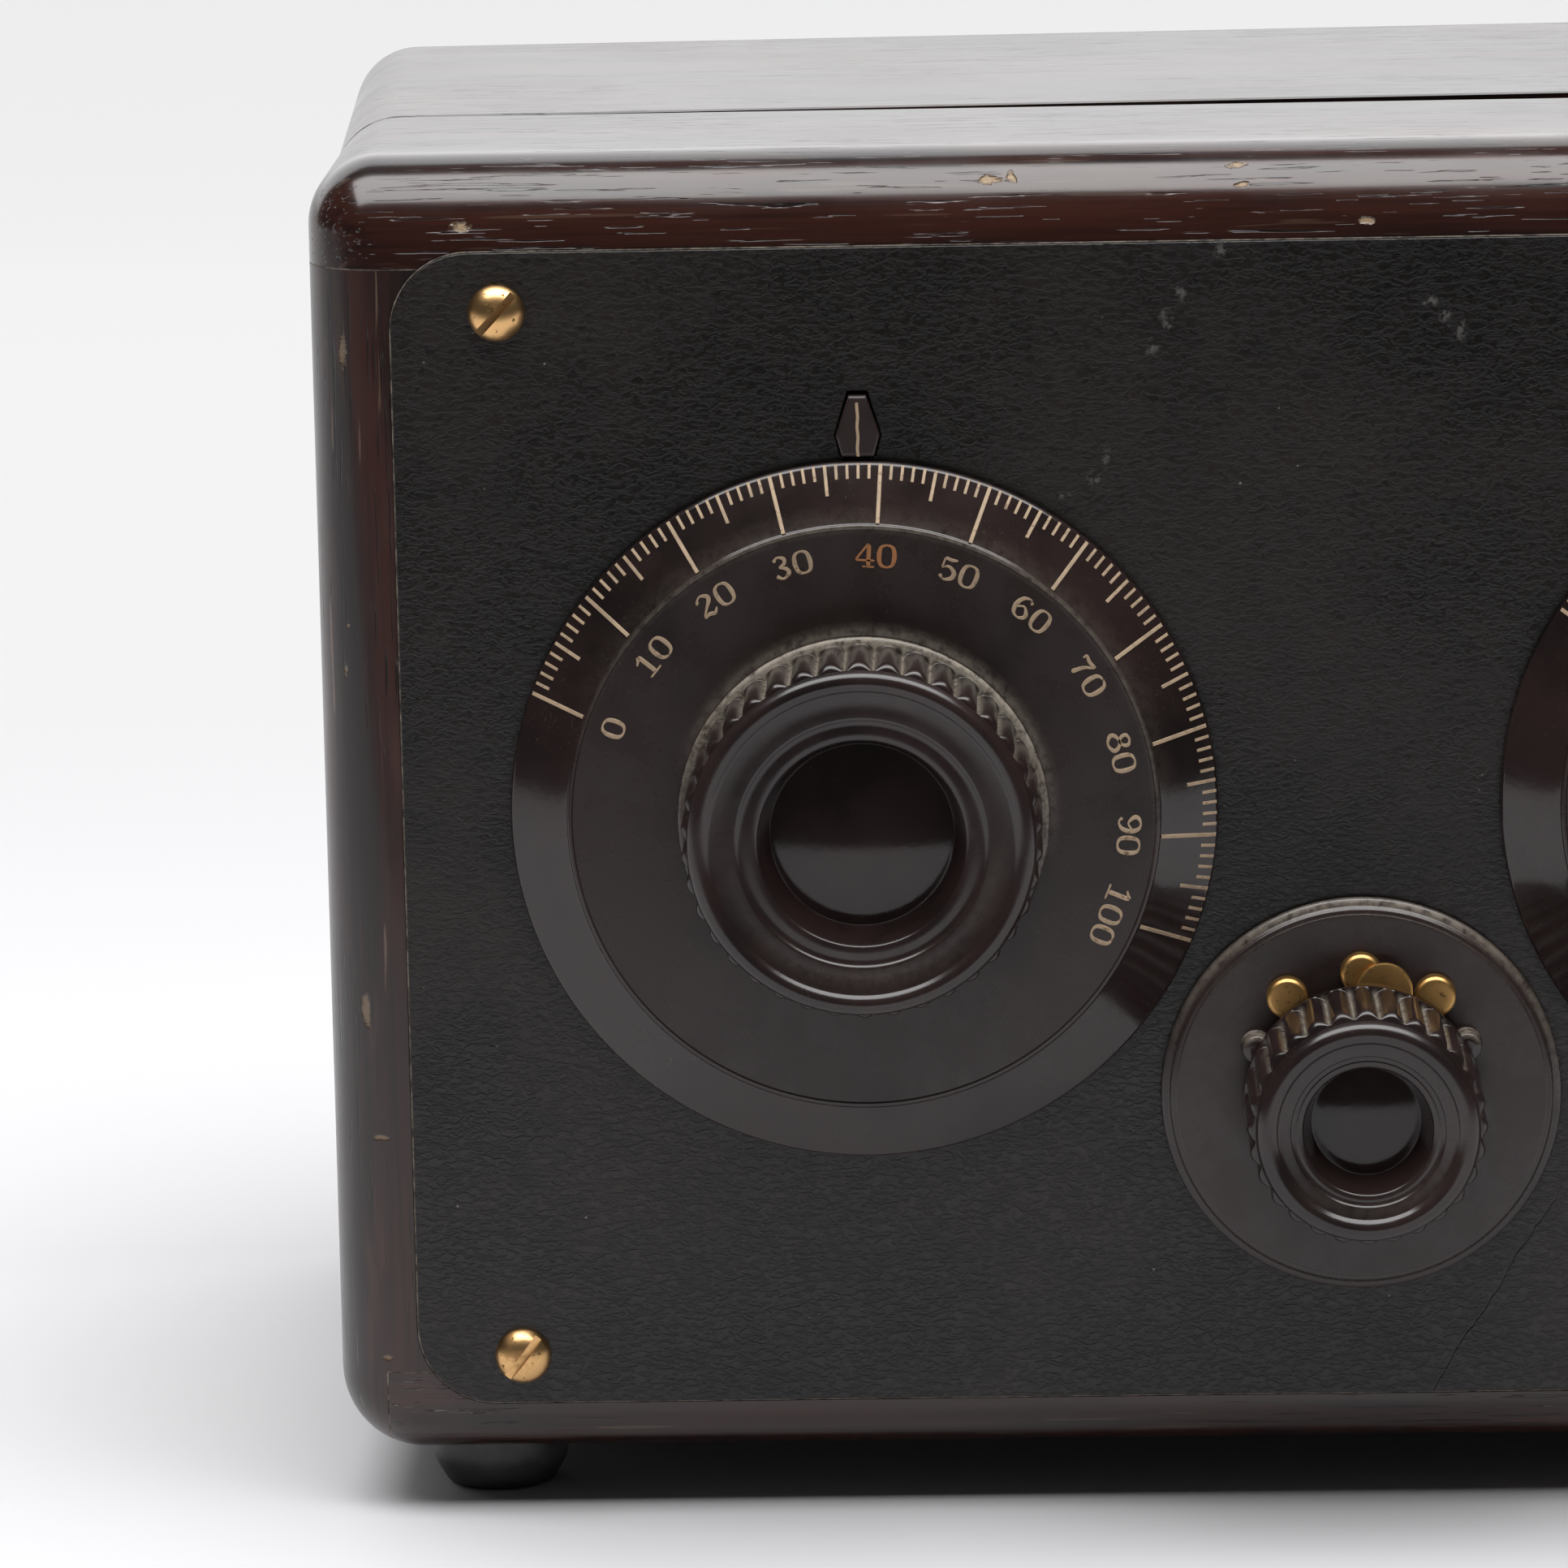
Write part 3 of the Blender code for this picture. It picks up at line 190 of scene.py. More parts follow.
# How fine each layer of the grain is along the board and across it
grain = {"figure": (7, 60, 60), "fibre": (28, 900, 900), "pores": (75, 1900, 1900), "patches": (14, 45, 45),
         "scratches": (35, 700, 700), "worn": (22, 160, 160), "scratchTurn": (0, 0.01, 0.05)}
grainTurn = {"x": (0, 0, 0), "z": (0, math.radians(90), 0)}


# Grain: noise stretched 20 times along one axis, dark pores stretched 25 times, and fine pale scratches.
def woodFinish(name, along, rubbed=0.0, marks=(), chipped=1.0):
    made, tree, shader, place = newMaterial(name)
    run = join(tree, "ShaderNodeMapping", {"Vector": place, "Rotation": grainTurn[along]})["Vector"]
    figure = noise(tree, stretched(tree, run, grain["figure"]), 1.0, 3.0, 0.5, 1.2)
    fibre = noise(tree, stretched(tree, run, grain["fibre"]), 1.0, 5.0, 0.6)
    pores = noise(tree, stretched(tree, run, grain["pores"]), 1.0, 2.0, 0.5)
    pores = between(tree, pores, 0.62, 0.68)
    patches = noise(tree, stretched(tree, run, grain["patches"]), 1.0, 2.0)
    pores = calc(tree, "MULTIPLY", pores, between(tree, patches, 0.40, 0.62))
    scratches = noise(tree, stretched(tree, run, grain["scratches"], grain["scratchTurn"]), 1.0, 2.0, 0.4)
    scratches = between(tree, scratches, 0.68, 0.72)
    tone = calc(tree, "MULTIPLY_ADD", fibre, 0.45, calc(tree, "MULTIPLY", figure, 0.65))
    colour = mixed(tree, between(tree, tone, 0.42, 0.72), wood["dark"], wood["red"])
    colour = mixed(tree, calc(tree, "MULTIPLY", scratches, 0.10 + 1.6 * rubbed), colour, wood["pale"])
    if rubbed:
        worn = noise(tree, stretched(tree, run, grain["worn"]), 1.0, 5.0, 0.65)
        colour = mixed(tree, calc(tree, "MULTIPLY", between(tree, worn, 0.52, 0.72), 4.0 * rubbed), colour,
                       wood["rub"])
    colour = mixed(tree, calc(tree, "MULTIPLY", pores, 0.85), colour, (0.002, 0.0012, 0.001))
    dull = noise(tree, place, 38.0, 4.0, 0.6)
    low, high = wood["roughness"]
    gloss = between(tree, dull, 0.35, 0.70, (low + rubbed, high + rubbed))
    gloss = calc(tree, "MULTIPLY_ADD", fibre, 0.04, gloss)
    height = calc(tree, "MULTIPLY_ADD", pores, -1.0, calc(tree, "MULTIPLY", fibre, 0.10))
    if marks:
        chip = calc(tree, "MULTIPLY", spotMask(tree, place, marks, 0.6), chipped)
        colour = mixed(tree, chip, colour, wood["chip"])
        gloss = calc(tree, "MAXIMUM", gloss, calc(tree, "MULTIPLY", chip, 0.8))
        height = calc(tree, "MULTIPLY_ADD", chip, -2.5, height)
    surface = bumped(tree, height, wood["relief"])
    feed(tree, shader, {"Base Color": colour, "Roughness": gloss, "Normal": surface, "Coat Normal": surface,
                        "IOR": 1.5, "Coat Weight": wood["coat"], "Coat Roughness": wood["coatRoughness"]})
    return made


panelLook = {"dark": (0.0068, 0.0060, 0.0055), "pale": (0.0190, 0.0152, 0.0132), "roughness": 0.27,
             "relief": 0.06 * mm, "scuff": (0.150, 0.142, 0.132)}
# Grey rubbed places on the panel: middle and half sizes across and up, in metres
scuffPlaces = [(-0.0271, 0.1817, 0.0013, 0.0014), (-0.0326, 0.1759, 0.0010, 0.0018),
               (-0.0346, 0.1724, 0.0013, 0.0020), (-0.0367, 0.1683, 0.0012, 0.0014),
               (0.0023, 0.1741, 0.0018, 0.0011), (0.0041, 0.1722, 0.0014, 0.0014),
               (0.0062, 0.1699, 0.0017, 0.0020), (-0.0433, 0.1530, 0.0009, 0.0020),
               (-0.0452, 0.1500, 0.0013, 0.0014), (-0.0492, 0.1477, 0.0012, 0.0009)]
scuffs = [(x, -0.0768, z, halfX, 0.004, halfZ) for x, z, halfX, halfZ in scuffPlaces]
crack = {"foot": 0.0026, "low": 0.0185, "lean": 0.61, "top": 0.046, "half": 0.00028}


# Leather grain: short sideways creases from stretched, warped noise, over fine pebbles from Voronoi
# cells.
def panelFinish():
    made, tree, shader, place = newMaterial("leatherBoard")
    warped = noise(tree, place, 160.0, 3.0, 0.6)
    crease = noise(tree, stretched(tree, place, (640, 640, 1250)), 1.0, 5.0, 0.62, 0.9)
    crease = between(tree, crease, 0.34, 0.60)
    pebble = join(tree, "ShaderNodeTexVoronoi", {"Vector": place, "Scale": 1500.0, "Randomness": 1.0},
                  feature="SMOOTH_F1")["Distance"]
    cloud = noise(tree, place, 14.0, 4.0, 0.6)
    colour = mixed(tree, between(tree, calc(tree, "MULTIPLY_ADD", warped, 0.35, cloud), 0.5, 0.85),
                   panelLook["dark"], panelLook["pale"])
    # Painted shade: the creases' low parts, which the bump sinks, are darkened towards black
    colour = mixed(tree, calc(tree, "MULTIPLY_ADD", crease, -0.5, 0.5), colour, (0.003, 0.003, 0.003))
    specks = join(tree, "ShaderNodeTexVoronoi", {"Vector": place, "Scale": 210.0})["Distance"]
    specks = between(tree, specks, 0.045, 0.03)
    speckNoise = between(tree, noise(tree, place, 60.0, 2.0), 0.50, 0.62)
    specks = calc(tree, "MULTIPLY", specks, speckNoise)
    colour = mixed(tree, calc(tree, "MULTIPLY", specks, 0.5), colour, (0.35, 0.32, 0.28))
    scuff = calc(tree, "MULTIPLY", spotMask(tree, place, scuffs, 0.9),
                 between(tree, noise(tree, place, 1100.0, 3.0), 0.42, 0.58))
    colour = mixed(tree, calc(tree, "MULTIPLY", scuff, 0.62), colour, panelLook["scuff"])
    apart = join(tree, "ShaderNodeSeparateXYZ", {0: place})
    lean = calc(tree, "MULTIPLY_ADD", apart[2], crack["lean"], crack["foot"] - crack["lean"] * crack["low"])
    wander = calc(tree, "MULTIPLY_ADD", noise(tree, place, 150.0, 3.0), 0.0022, -0.0011)
    off = calc(tree, "ABSOLUTE", calc(tree, "ADD", calc(tree, "SUBTRACT", apart[0], lean), wander))
    line = calc(tree, "MULTIPLY", between(tree, off, crack["half"], 0.0),
                between(tree, apart[2], crack["top"] + 0.004, crack["top"] - 0.004))
    colour = mixed(tree, calc(tree, "MULTIPLY", line, 0.8), colour, (0.002, 0.002, 0.002))
    rough = calc(tree, "MULTIPLY_ADD", cloud, 0.22, panelLook["roughness"] - 0.11)
    height = calc(tree, "MULTIPLY_ADD", line, -2.0, calc(tree, "MULTIPLY_ADD", pebble, -0.35, crease))
    feed(tree, shader, {"Base Color": colour, "Roughness": rough, "IOR": 1.48,
                        "Normal": bumped(tree, height, panelLook["relief"], 0.6)})
    return made


bakelite = {"dark": (0.0105, 0.0068, 0.0066), "brown": (0.0235, 0.0140, 0.0132), "dust": (0.30, 0.26, 0.21)}


# Moulded resin: slow brown clouding, fine dust, and an attribute, grime, where dirt has gathered.
def bakeliteFinish(name, gloss=0.16, dusty=0.06, brown=0.5, bend=1.54):
    made, tree, shader, place = newMaterial(name)
    cloud = noise(tree, place, 55.0, 5.0, 0.6)
    colour = mixed(tree, between(tree, cloud, 0.55 - 0.3 * brown, 0.85 - 0.3 * brown), bakelite["dark"],
                   bakelite["brown"])
    grime = join(tree, "ShaderNodeAttribute", attribute_name="grime")["Fac"]
    ragged = noise(tree, place, 700.0, 4.0, 0.7)
    grime = calc(tree, "MULTIPLY", grime, between(tree, ragged, 0.22, 0.62))
    film = calc(tree, "MULTIPLY", between(tree, noise(tree, place, 2400.0, 2.0), 0.62, 0.74),
                between(tree, noise(tree, place, 90.0, 3.0), 0.45, 0.70))
    colour = mixed(tree, calc(tree, "MULTIPLY", film, dusty), colour, bakelite["dust"])
    colour = mixed(tree, grime, colour, bakelite["dust"])
    rough = between(tree, noise(tree, place, 130.0, 4.0, 0.7), 0.30, 0.75, (gloss, gloss * 1.5))
    rough = calc(tree, "MAXIMUM", rough, calc(tree, "MULTIPLY", grime, 0.75))
    pits = calc(tree, "ADD", noise(tree, place, 1100.0, 3.0), grime)
    feed(tree, shader, {"Base Color": colour, "Roughness": rough, "IOR": bend,
                        "Normal": bumped(tree, pits, 0.006 * mm)})
    return made


# Filled paint: cream with brown specks where it has darkened or come away.
def paintFinish(name, fresh, worn):
    made, tree, shader, place = newMaterial(name)
    spots = noise(tree, place, 1300.0, 3.0, 0.6)
    colour = mixed(tree, between(tree, spots, 0.56, 0.72), fresh, worn)
    colour = mixed(tree, between(tree, noise(tree, place, 260.0, 2.0), 0.45, 0.75), colour,
                   tuple(c * 0.72 for c in fresh))
    feed(tree, shader, {"Base Color": colour, "Roughness": 0.62, "Normal": bumped(tree, spots, 0.02 * mm)})
    return made


# Metal with a stained film: blotches darken it, small spots roughen it, brushing runs along an axis.
def metalFinish(name, bright, stained, gloss, stain=0.5, brushed=None):
    made, tree, shader, place = newMaterial(name)
    blotch = noise(tree, place, 260.0, 5.0, 0.65, 0.4)
    spots = between(tree, noise(tree, place, 900.0, 3.0, 0.6), 0.60, 0.68)
    film = between(tree, blotch, 0.75 - 0.5 * stain, 0.95 - 0.35 * stain)
    colour = mixed(tree, film, bright, stained)
    colour = mixed(tree, calc(tree, "MULTIPLY", spots, 0.75), colour, tuple(c * 0.25 for c in stained))
    rough = calc(tree, "MULTIPLY_ADD", film, 0.22, gloss)
    rough = calc(tree, "MAXIMUM", rough, calc(tree, "MULTIPLY", spots, 0.65))
    lines = noise(tree, stretched(tree, place, brushed or (900, 900, 900)), 1.0, 3.0, 0.6)
    height = calc(tree, "MULTIPLY_ADD", spots, -0.6, lines)
    feed(tree, shader, {"Base Color": colour, "Roughness": rough, "Metallic": 1.0,
                        "Normal": bumped(tree, height, 0.008 * mm)})
    return made


# Plain dull stuff: two tones in noise and a little grain.
def dullFinish(name, first, second, scale, gloss, stretch=(1, 1, 1)):
    made, tree, shader, place = newMaterial(name)
    tone = noise(tree, stretched(tree, place, tuple(scale * s for s in stretch)), 1.0, 5.0, 0.6)
    feed(tree, shader, {"Base Color": mixed(tree, between(tree, tone, 0.35, 0.65), first, second),
                        "Roughness": between(tree, tone, 0.2, 0.8, (gloss - 0.08, gloss + 0.08)),
                        "Normal": bumped(tree, tone, 0.04 * mm)})
    return made


finishes = {
    "railWood": woodFinish("railWood", "x", marks=chips),
    "stileWood": woodFinish("stileWood", "z", rubbed=0.13, marks=stileChips, chipped=0.45),
    "bottomWood": woodFinish("bottomWood", "x", rubbed=0.01),
    "coverWood": woodFinish("coverWood", "x"),
    "sideWood": woodFinish("sideWood", "z"),
    "backWood": woodFinish("backWood", "x", rubbed=0.05),
    "panel": panelFinish(),
    "dialBakelite": bakeliteFinish("dialBakelite", 0.10, 0.12, 0.9),
    "plateauBakelite": bakeliteFinish("plateauBakelite", 0.24, 0.10, 1.1),
    "knobBakelite": bakeliteFinish("knobBakelite", 0.18, 0.08, 0.8),
    "wellBakelite": bakeliteFinish("wellBakelite", 0.08, 0.05, 0.9, 1.46),
    "blackBakelite": bakeliteFinish("blackBakelite", 0.28, 0.08, 0.1),
    "pointerBakelite": bakeliteFinish("pointerBakelite", 0.30, 0.10, 1.4),
    "cream": paintFinish("creamPaint", (0.44, 0.32, 0.21), (0.15, 0.09, 0.05)),
    "amber": paintFinish("amberPaint", (0.36, 0.15, 0.055), (0.10, 0.045, 0.02)),
    "brass": metalFinish("oldBrass", (0.56, 0.33, 0.12), (0.36, 0.20, 0.075), 0.40, 0.5),
    "wornBrass": metalFinish("wornBrass", (0.76, 0.46, 0.20), (0.36, 0.19, 0.075), 0.30, 0.45),
    # Near-black for screw slots: partly grime, partly painted shade in the recess
    "slotGrimeAndShade": dullFinish("slotGrimeAndShade", (0.012, 0.009, 0.006), (0.035, 0.025, 0.016), 2000, 0.8),
    "aluminium": metalFinish("aluminium", (0.58, 0.58, 0.56), (0.36, 0.36, 0.34), 0.30, 0.4,
                             brushed=(300, 2500, 2500)),
    "footBlack": dullFinish("footBlack", (0.030, 0.029, 0.030), (0.056, 0.054, 0.055), 300, 0.42),
    "galena": metalFinish("galena", (0.20, 0.21, 0.24), (0.09, 0.09, 0.11), 0.22, 0.6),
    "copper": metalFinish("copperWire", (0.55, 0.24, 0.11), (0.30, 0.12, 0.06), 0.28, 0.4),
    "cotton": dullFinish("cottonCovering", (0.060, 0.095, 0.048), (0.115, 0.165, 0.085), 2600, 0.75),
    "card": dullFinish("waxedCard", (0.16, 0.085, 0.035), (0.24, 0.14, 0.065), 240, 0.5, stretch=(1, 1, 3)),
    "joint": dullFinish("jointLine", (0.05, 0.04, 0.033), (0.26, 0.22, 0.18), 500, 0.9),
}
print("finishes made:", len(finishes))


mergeDistance = 0.0004 * mm


# Quads between rows and columns of a (rows, columns, 3) array; around joins the last column to the first.
def gridPart(points, finish, around=True):
    rows, columns = points.shape[:2]
    number = np.arange(rows * columns).reshape(rows, columns)
    if around:
        number = np.concatenate([number, number[:, :1]], axis=1)
    faces = np.stack([number[:-1, :-1], number[:-1, 1:], number[1:, 1:], number[1:, :-1]], -1).reshape(-1, 4)
    return {"points": points.reshape(-1, 3), "faces": faces, "finish": finish}


# A closed tube from a (rows, columns, 3) array: both ways joined round.
def bandPart(points, finish):
    return gridPart(np.concatenate([points, points[:1]], axis=0), finish)


def shown(thing):
    bpy.context.scene.collection.objects.link(thing)
    return thing


# The object's mesh with its modifiers applied.
def finalMesh(thing):
    bpy.context.view_layer.update()
    return bpy.data.meshes.new_from_object(thing.evaluated_get(bpy.context.evaluated_depsgraph_get()))


# Smooth everywhere but at edges sharper than this many degrees.
def shaded(mesh, sharp):
    mesh.polygons.foreach_set("use_smooth", np.ones(len(mesh.polygons), dtype=bool))
    mesh.set_sharp_from_angle(angle=math.radians(sharp))


# One object from parts; doubles merged, normals turned outwards, edges over sharp degrees kept crisp.
def makePiece(name, parts, body, stands=(), grime=None, sharp=38.0):
    points = np.concatenate([part["points"] for part in parts])
    starts = np.cumsum([0] + [len(part["points"]) for part in parts[:-1]])
    faces = np.concatenate([part["faces"] + start for part, start in zip(parts, starts)])
    used = list(dict.fromkeys(part["finish"] for part in parts))
    which = np.concatenate([np.full(len(part["faces"]), used.index(part["finish"])) for part in parts])
    mesh = bpy.data.meshes.new(name)
    mesh.from_pydata(points.tolist(), [], faces.tolist())
    for finish in used:
        mesh.materials.append(finishes[finish])
    mesh.polygons.foreach_set("material_index", which.astype(np.int32))
    if grime is not None:
        layer = mesh.attributes.new("grime", "FLOAT", "POINT")
        layer.data.foreach_set("value", np.asarray(grime, dtype=np.float32).ravel())
    work = bmesh.new()
    work.from_mesh(mesh)
    bmesh.ops.remove_doubles(work, verts=work.verts, dist=mergeDistance)
    bmesh.ops.recalc_face_normals(work, faces=work.faces)
    work.to_mesh(mesh)
    work.free()
    shaded(mesh, sharp)
    return hang(bpy.data.objects.new(name, mesh), body, stands)


# Links a piece at the origin and hangs it on its body.
def hang(piece, body, stands=()):
    if piece.name not in bpy.context.scene.collection.objects:
        shown(piece)
    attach(piece, body)
    if stands:
        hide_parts(*stands)
    return piece


# A profile from (x, y, rounding) corners: each is cut back by its rounding and joined by a curve whose
# middle follows the quadratic Bezier of the corner.
def eased(corners, steps=4):
    corners = [(c[0], c[1], c[2] if len(c) > 2 else 0.0) for c in corners]
    path = [corners[0][:2]]
    for before, here, after in zip(corners, corners[1:], corners[2:]):
        x, y, cut = here
        if cut == 0:
            path.append((x, y))
            continue
        ends = []
        for other in (before, after):
            run = math.hypot(other[0] - x, other[1] - y)
            share = min(cut / run, 0.49)
            ends.append((x + (other[0] - x) * share, y + (other[1] - y) * share))
        for step in range(steps + 1):
            t = step / steps
            path.append(tuple((1 - t) ** 2 * ends[0][i] + 2 * t * (1 - t) * here[i] + t * t * ends[1][i]
                              for i in (0, 1)))
    return np.array(path + [corners[-1][:2]])


# (rows, steps, 3): each (radius, height) point of the path carried round the axis, clockwise from axes[0].
def revolved(path, centre, axes=toFront, steps=96):
    angle = np.arange(steps) * 2 * np.pi / steps
    first, second, third = (np.array(a, float) for a in axes)
    ring = np.cos(angle)[:, None] * first + np.sin(angle)[:, None] * second
    return np.array(centre) + path[:, None, :1] * ring[None] + path[:, None, 1:] * third


# (n, 2): a rectangle's outline with rounded corners, anticlockwise from the lower right corner's start.
# Corner points lie on quarter circles and the sides are cut evenly.
def roundedLoop(low, high, cornerLow, cornerHigh, perCorner=14, perSide=24):
    turn = np.linspace(0, np.pi / 2, perCorner)
    pieces = []
    for x, z, radius, start in ((high[0], low[1], cornerLow, -0.5), (high[0], high[1], cornerHigh, 0.0),
                                (low[0], high[1], cornerHigh, 0.5), (low[0], low[1], cornerLow, 1.0)):
        inX = x - math.copysign(radius, x - (low[0] + high[0]) / 2)
        inZ = z - math.copysign(radius, z - (low[1] + high[1]) / 2)
        pieces.append(np.stack([inX + radius * np.cos(start * np.pi + turn),
                                inZ + radius * np.sin(start * np.pi + turn)], -1))
    share = np.linspace(0, 1, perSide)[1:-1, None]
    loop = []
    for here, after in zip(pieces, pieces[1:] + pieces[:1]):
        loop += [here, here[-1] + (after[0] - here[-1]) * share]
    return np.concatenate(loop)


# Stands a flat (n, 2) loop up at depth y.
def inXZ(loop, y):
    return np.stack([loop[:, 0], np.full(len(loop), y), loop[:, 1]], -1)


# Closes a stack of loops at both ends by shrinking copies of the end loops to their middle.
def lidded(rows):
    ends = []
    for row in (rows[0], rows[-1]):
        centre = row.mean(0)
        ends.append([centre + (row - centre) * s for s in (0.0, 0.5, 0.93)])
    return np.array(ends[0] + list(rows) + ends[1][::-1])


# A helper block for a Boolean.
def blockObject(name, low, high):
    corners = np.array([[x, y, z] for x in (low[0], high[0]) for y in (low[1], high[1])
                        for z in (low[2], high[2])])
    faces = [(0, 1, 3, 2), (4, 6, 7, 5), (0, 4, 5, 1), (2, 3, 7, 6), (0, 2, 6, 4), (1, 5, 7, 3)]
    mesh = bpy.data.meshes.new(name)
    mesh.from_pydata(corners.tolist(), [], faces)
    return shown(bpy.data.objects.new(name, mesh))


# A copy of source with each (operation, low, high) block applied to its mesh.
def carved(source, name, cuts, body, stands, finish, sharp=40.0):
    piece = shown(bpy.data.objects.new(name, source.data.copy()))
    blocks = []
    for operation, low, high in cuts:
        blocks.append(blockObject("block", low, high))
        modifier = piece.modifiers.new(operation.lower(), "BOOLEAN")
        modifier.operation, modifier.object = operation, blocks[-1]
    mesh = finalMesh(piece)
    mesh.name = name
    piece.modifiers.clear()
    piece.data = mesh
    for block in blocks:
        bpy.data.objects.remove(block)
    mesh.materials.clear()
    mesh.materials.append(finishes[finish])
    mesh.polygons.foreach_set("material_index", np.zeros(len(mesh.polygons), dtype=np.int32))
    shaded(mesh, sharp)
    return hang(piece, body, stands)


cabinet = {"edge": 12.0 * mm, "edgeLow": 8.3 * mm, "edgeSide": 11.4 * mm, "cornerTop": 10 * mm,
           "cornerBottom": 12 * mm, "wall": 9 * mm, "joint": 0.22 * mm,
           "ledge": 14 * mm, "ledgeDepth": 13 * mm, "panelCorner": 11 * mm, "panelGap": 0.25 * mm,
           "back": 9 * mm, "lap": 7.4 * mm, "lapRise": 4.3 * mm, "cap": 15.2 * mm, "far": 0.1}

railLow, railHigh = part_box("front_top_rail")
bottomLow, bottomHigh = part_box("front_bottom_rail")
leftLow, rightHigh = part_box("front_left_stile")[0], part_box("front_right_stile")[1]
outerLow = np.array([leftLow.x, bottomLow.z])
outerHigh = np.array([rightHigh.x, railHigh.z])
frontY, frontBack = railLow.y, railHigh.y
middleX = (outerLow[0] + outerHigh[0]) / 2
openLow = np.array([panelLow.x, panelLow.z]) - cabinet["panelGap"]
openHigh = np.array([panelHigh.x, panelHigh.z]) + cabinet["panelGap"]


# The cabinet's outline moved in by inset, less below, where the edge is thinner; corners shrink with it.
def outerLoop(inset=0.0):
    across = inset * cabinet["edgeSide"] / cabinet["edge"]
    under = inset * cabinet["edgeLow"] / cabinet["edge"]
    low, high = outerLow + np.array([across, under]), outerHigh - np.array([across, inset])
    return roundedLoop(low, high, max(cabinet["cornerBottom"] - inset, 0.5 * mm),
                       max(cabinet["cornerTop"] - inset, 0.5 * mm))


# (inset, depth) pairs of a quarter round from the side at depth start to the face at depth end.
def roundOver(start, end, steps=18):
    edge = abs(end - start)
    turn = np.linspace(0, np.pi / 2, steps)
    return [(edge * (1 - math.cos(t)), start + (end - start) * math.sin(t)) for t in turn]


# One closed ring for the front: outside, quarter round, face, rebate, ledge and inner wall as loops.
def frontRing():
    edge = cabinet["edge"]
    rows = [inXZ(outerLoop(0.25 * mm), frontBack), inXZ(outerLoop(), frontBack - 0.25 * mm)]
    rows += [inXZ(outerLoop(), y) for y in np.linspace(frontBack - 5 * mm, frontY + edge, 6)[:-1]]
    rows += [inXZ(outerLoop(inset), depth) for inset, depth in roundOver(frontY + edge, frontY)]
    corner = cabinet["panelCorner"] + cabinet["panelGap"]
    backOfPanel = panelHigh.y + 0.3 * mm
    ledgeBack = backOfPanel + cabinet["ledgeDepth"]
    for grow, depth in ((0.08 * mm, frontY), (0.0, frontY + 0.08 * mm), (0.0, backOfPanel)):
        rows.append(inXZ(roundedLoop(openLow - grow, openHigh + grow, corner + grow, corner + grow), depth))
    ledge = cabinet["ledge"]
    inner = roundedLoop(openLow + ledge, openHigh - ledge, 2 * mm, 2 * mm)
    rows += [inXZ(inner, backOfPanel), inXZ(inner, ledgeBack)]
    wall = roundedLoop(outerLow + cabinet["wall"], outerHigh - cabinet["wall"], 1 * mm, 1 * mm)
    rows += [inXZ(wall, ledgeBack), inXZ(wall, frontBack)]
    return makePiece("frontRing", [bandPart(np.array(rows), "railWood")], "cabinet")


# The ring cut into a top rail, two stiles and a lapped bottom rail, with thin dusty joints between.
def frontSection():
    ring = frontRing()
    far, gap = cabinet["far"], cabinet["joint"]
    capBase = outerHigh[1] - cabinet["cap"]
    lapTop = panelLow.z + cabinet["lapRise"]
    ledgeX = panelHigh.x - cabinet["ledge"] - middleX
    lapX = outerHigh[0] - cabinet["lap"] - middleX
    wide = outerHigh[0] - middleX + far

    # A block between two distances from the middle and two heights, right through the section.
    def span(fromX, toX, fromZ, toZ):
        return (middleX + fromX, frontY - far, fromZ), (middleX + toX, frontBack + far, toZ)

    low, high, centre = outerLow[1] - far, outerHigh[1] + far, (outerLow[1] + outerHigh[1]) / 2
    carved(ring, "topRail", [("DIFFERENCE", *span(-wide, wide, low, centre)),
                             ("DIFFERENCE", *span(-wide, -ledgeX, low, capBase + gap / 2)),
                             ("DIFFERENCE", *span(ledgeX, wide, low, capBase + gap / 2))],
           "cabinet", ["front_top_rail"], "railWood")
    carved(ring, "bottomRail", [("DIFFERENCE", *span(-wide, wide, centre, high)),
                                ("DIFFERENCE", *span(-wide, -ledgeX, lapTop, high)),
                                ("DIFFERENCE", *span(ledgeX, wide, lapTop, high)),
                                ("DIFFERENCE", *span(-wide, -lapX, low, high)),
                                ("DIFFERENCE", *span(lapX, wide, low, high))],
           "cabinet", ["front_bottom_rail"], "bottomWood")
    for name, side in (("leftStile", -1), ("rightStile", 1)):
        inner = sorted((side * (ledgeX + gap), -side * wide))
        lap = sorted((side * (lapX + gap), -side * wide))
        carved(ring, name, [("DIFFERENCE", *span(-wide, wide, capBase - gap / 2, high)),
                            ("DIFFERENCE", *span(*inner, low, high)),
                            ("DIFFERENCE", *span(*lap, low, lapTop + gap))],
               "cabinet", [f"front_{name[:-5]}_stile"], "stileWood")
        capJoint = sorted((side * ledgeX, side * wide))
        lapJoint = sorted((side * (ledgeX + 1 * mm), side * (lapX + gap)))
        sideJoint = sorted((side * lapX, side * (lapX + gap)))
        filling = carved(ring, name + "CapJoint",
                         [("INTERSECT", *span(*capJoint, capBase - gap / 2, capBase + gap / 2))],
                         "cabinet", (), "joint")
        filling.data.transform(Matrix.Translation((0, 0.06 * mm, 0)))
        for part, block in (("LapJoint", span(*lapJoint, lapTop, lapTop + gap)),
                            ("SideJoint", span(*sideJoint, low, lapTop + gap))):
            filling = carved(ring, name + part, [("INTERSECT", *block)], "cabinet", (), "joint")
            filling.data.transform(Matrix.Translation((0, 0.06 * mm, 0)))
    bpy.data.objects.remove(ring)


# Turns the cover from shut to where it stands, about the hinge
shutToAjar = Matrix.Translation(hingeAxis) @ Matrix.Rotation(ajar, 4, "Z") @ Matrix.Translation(-hingeAxis)


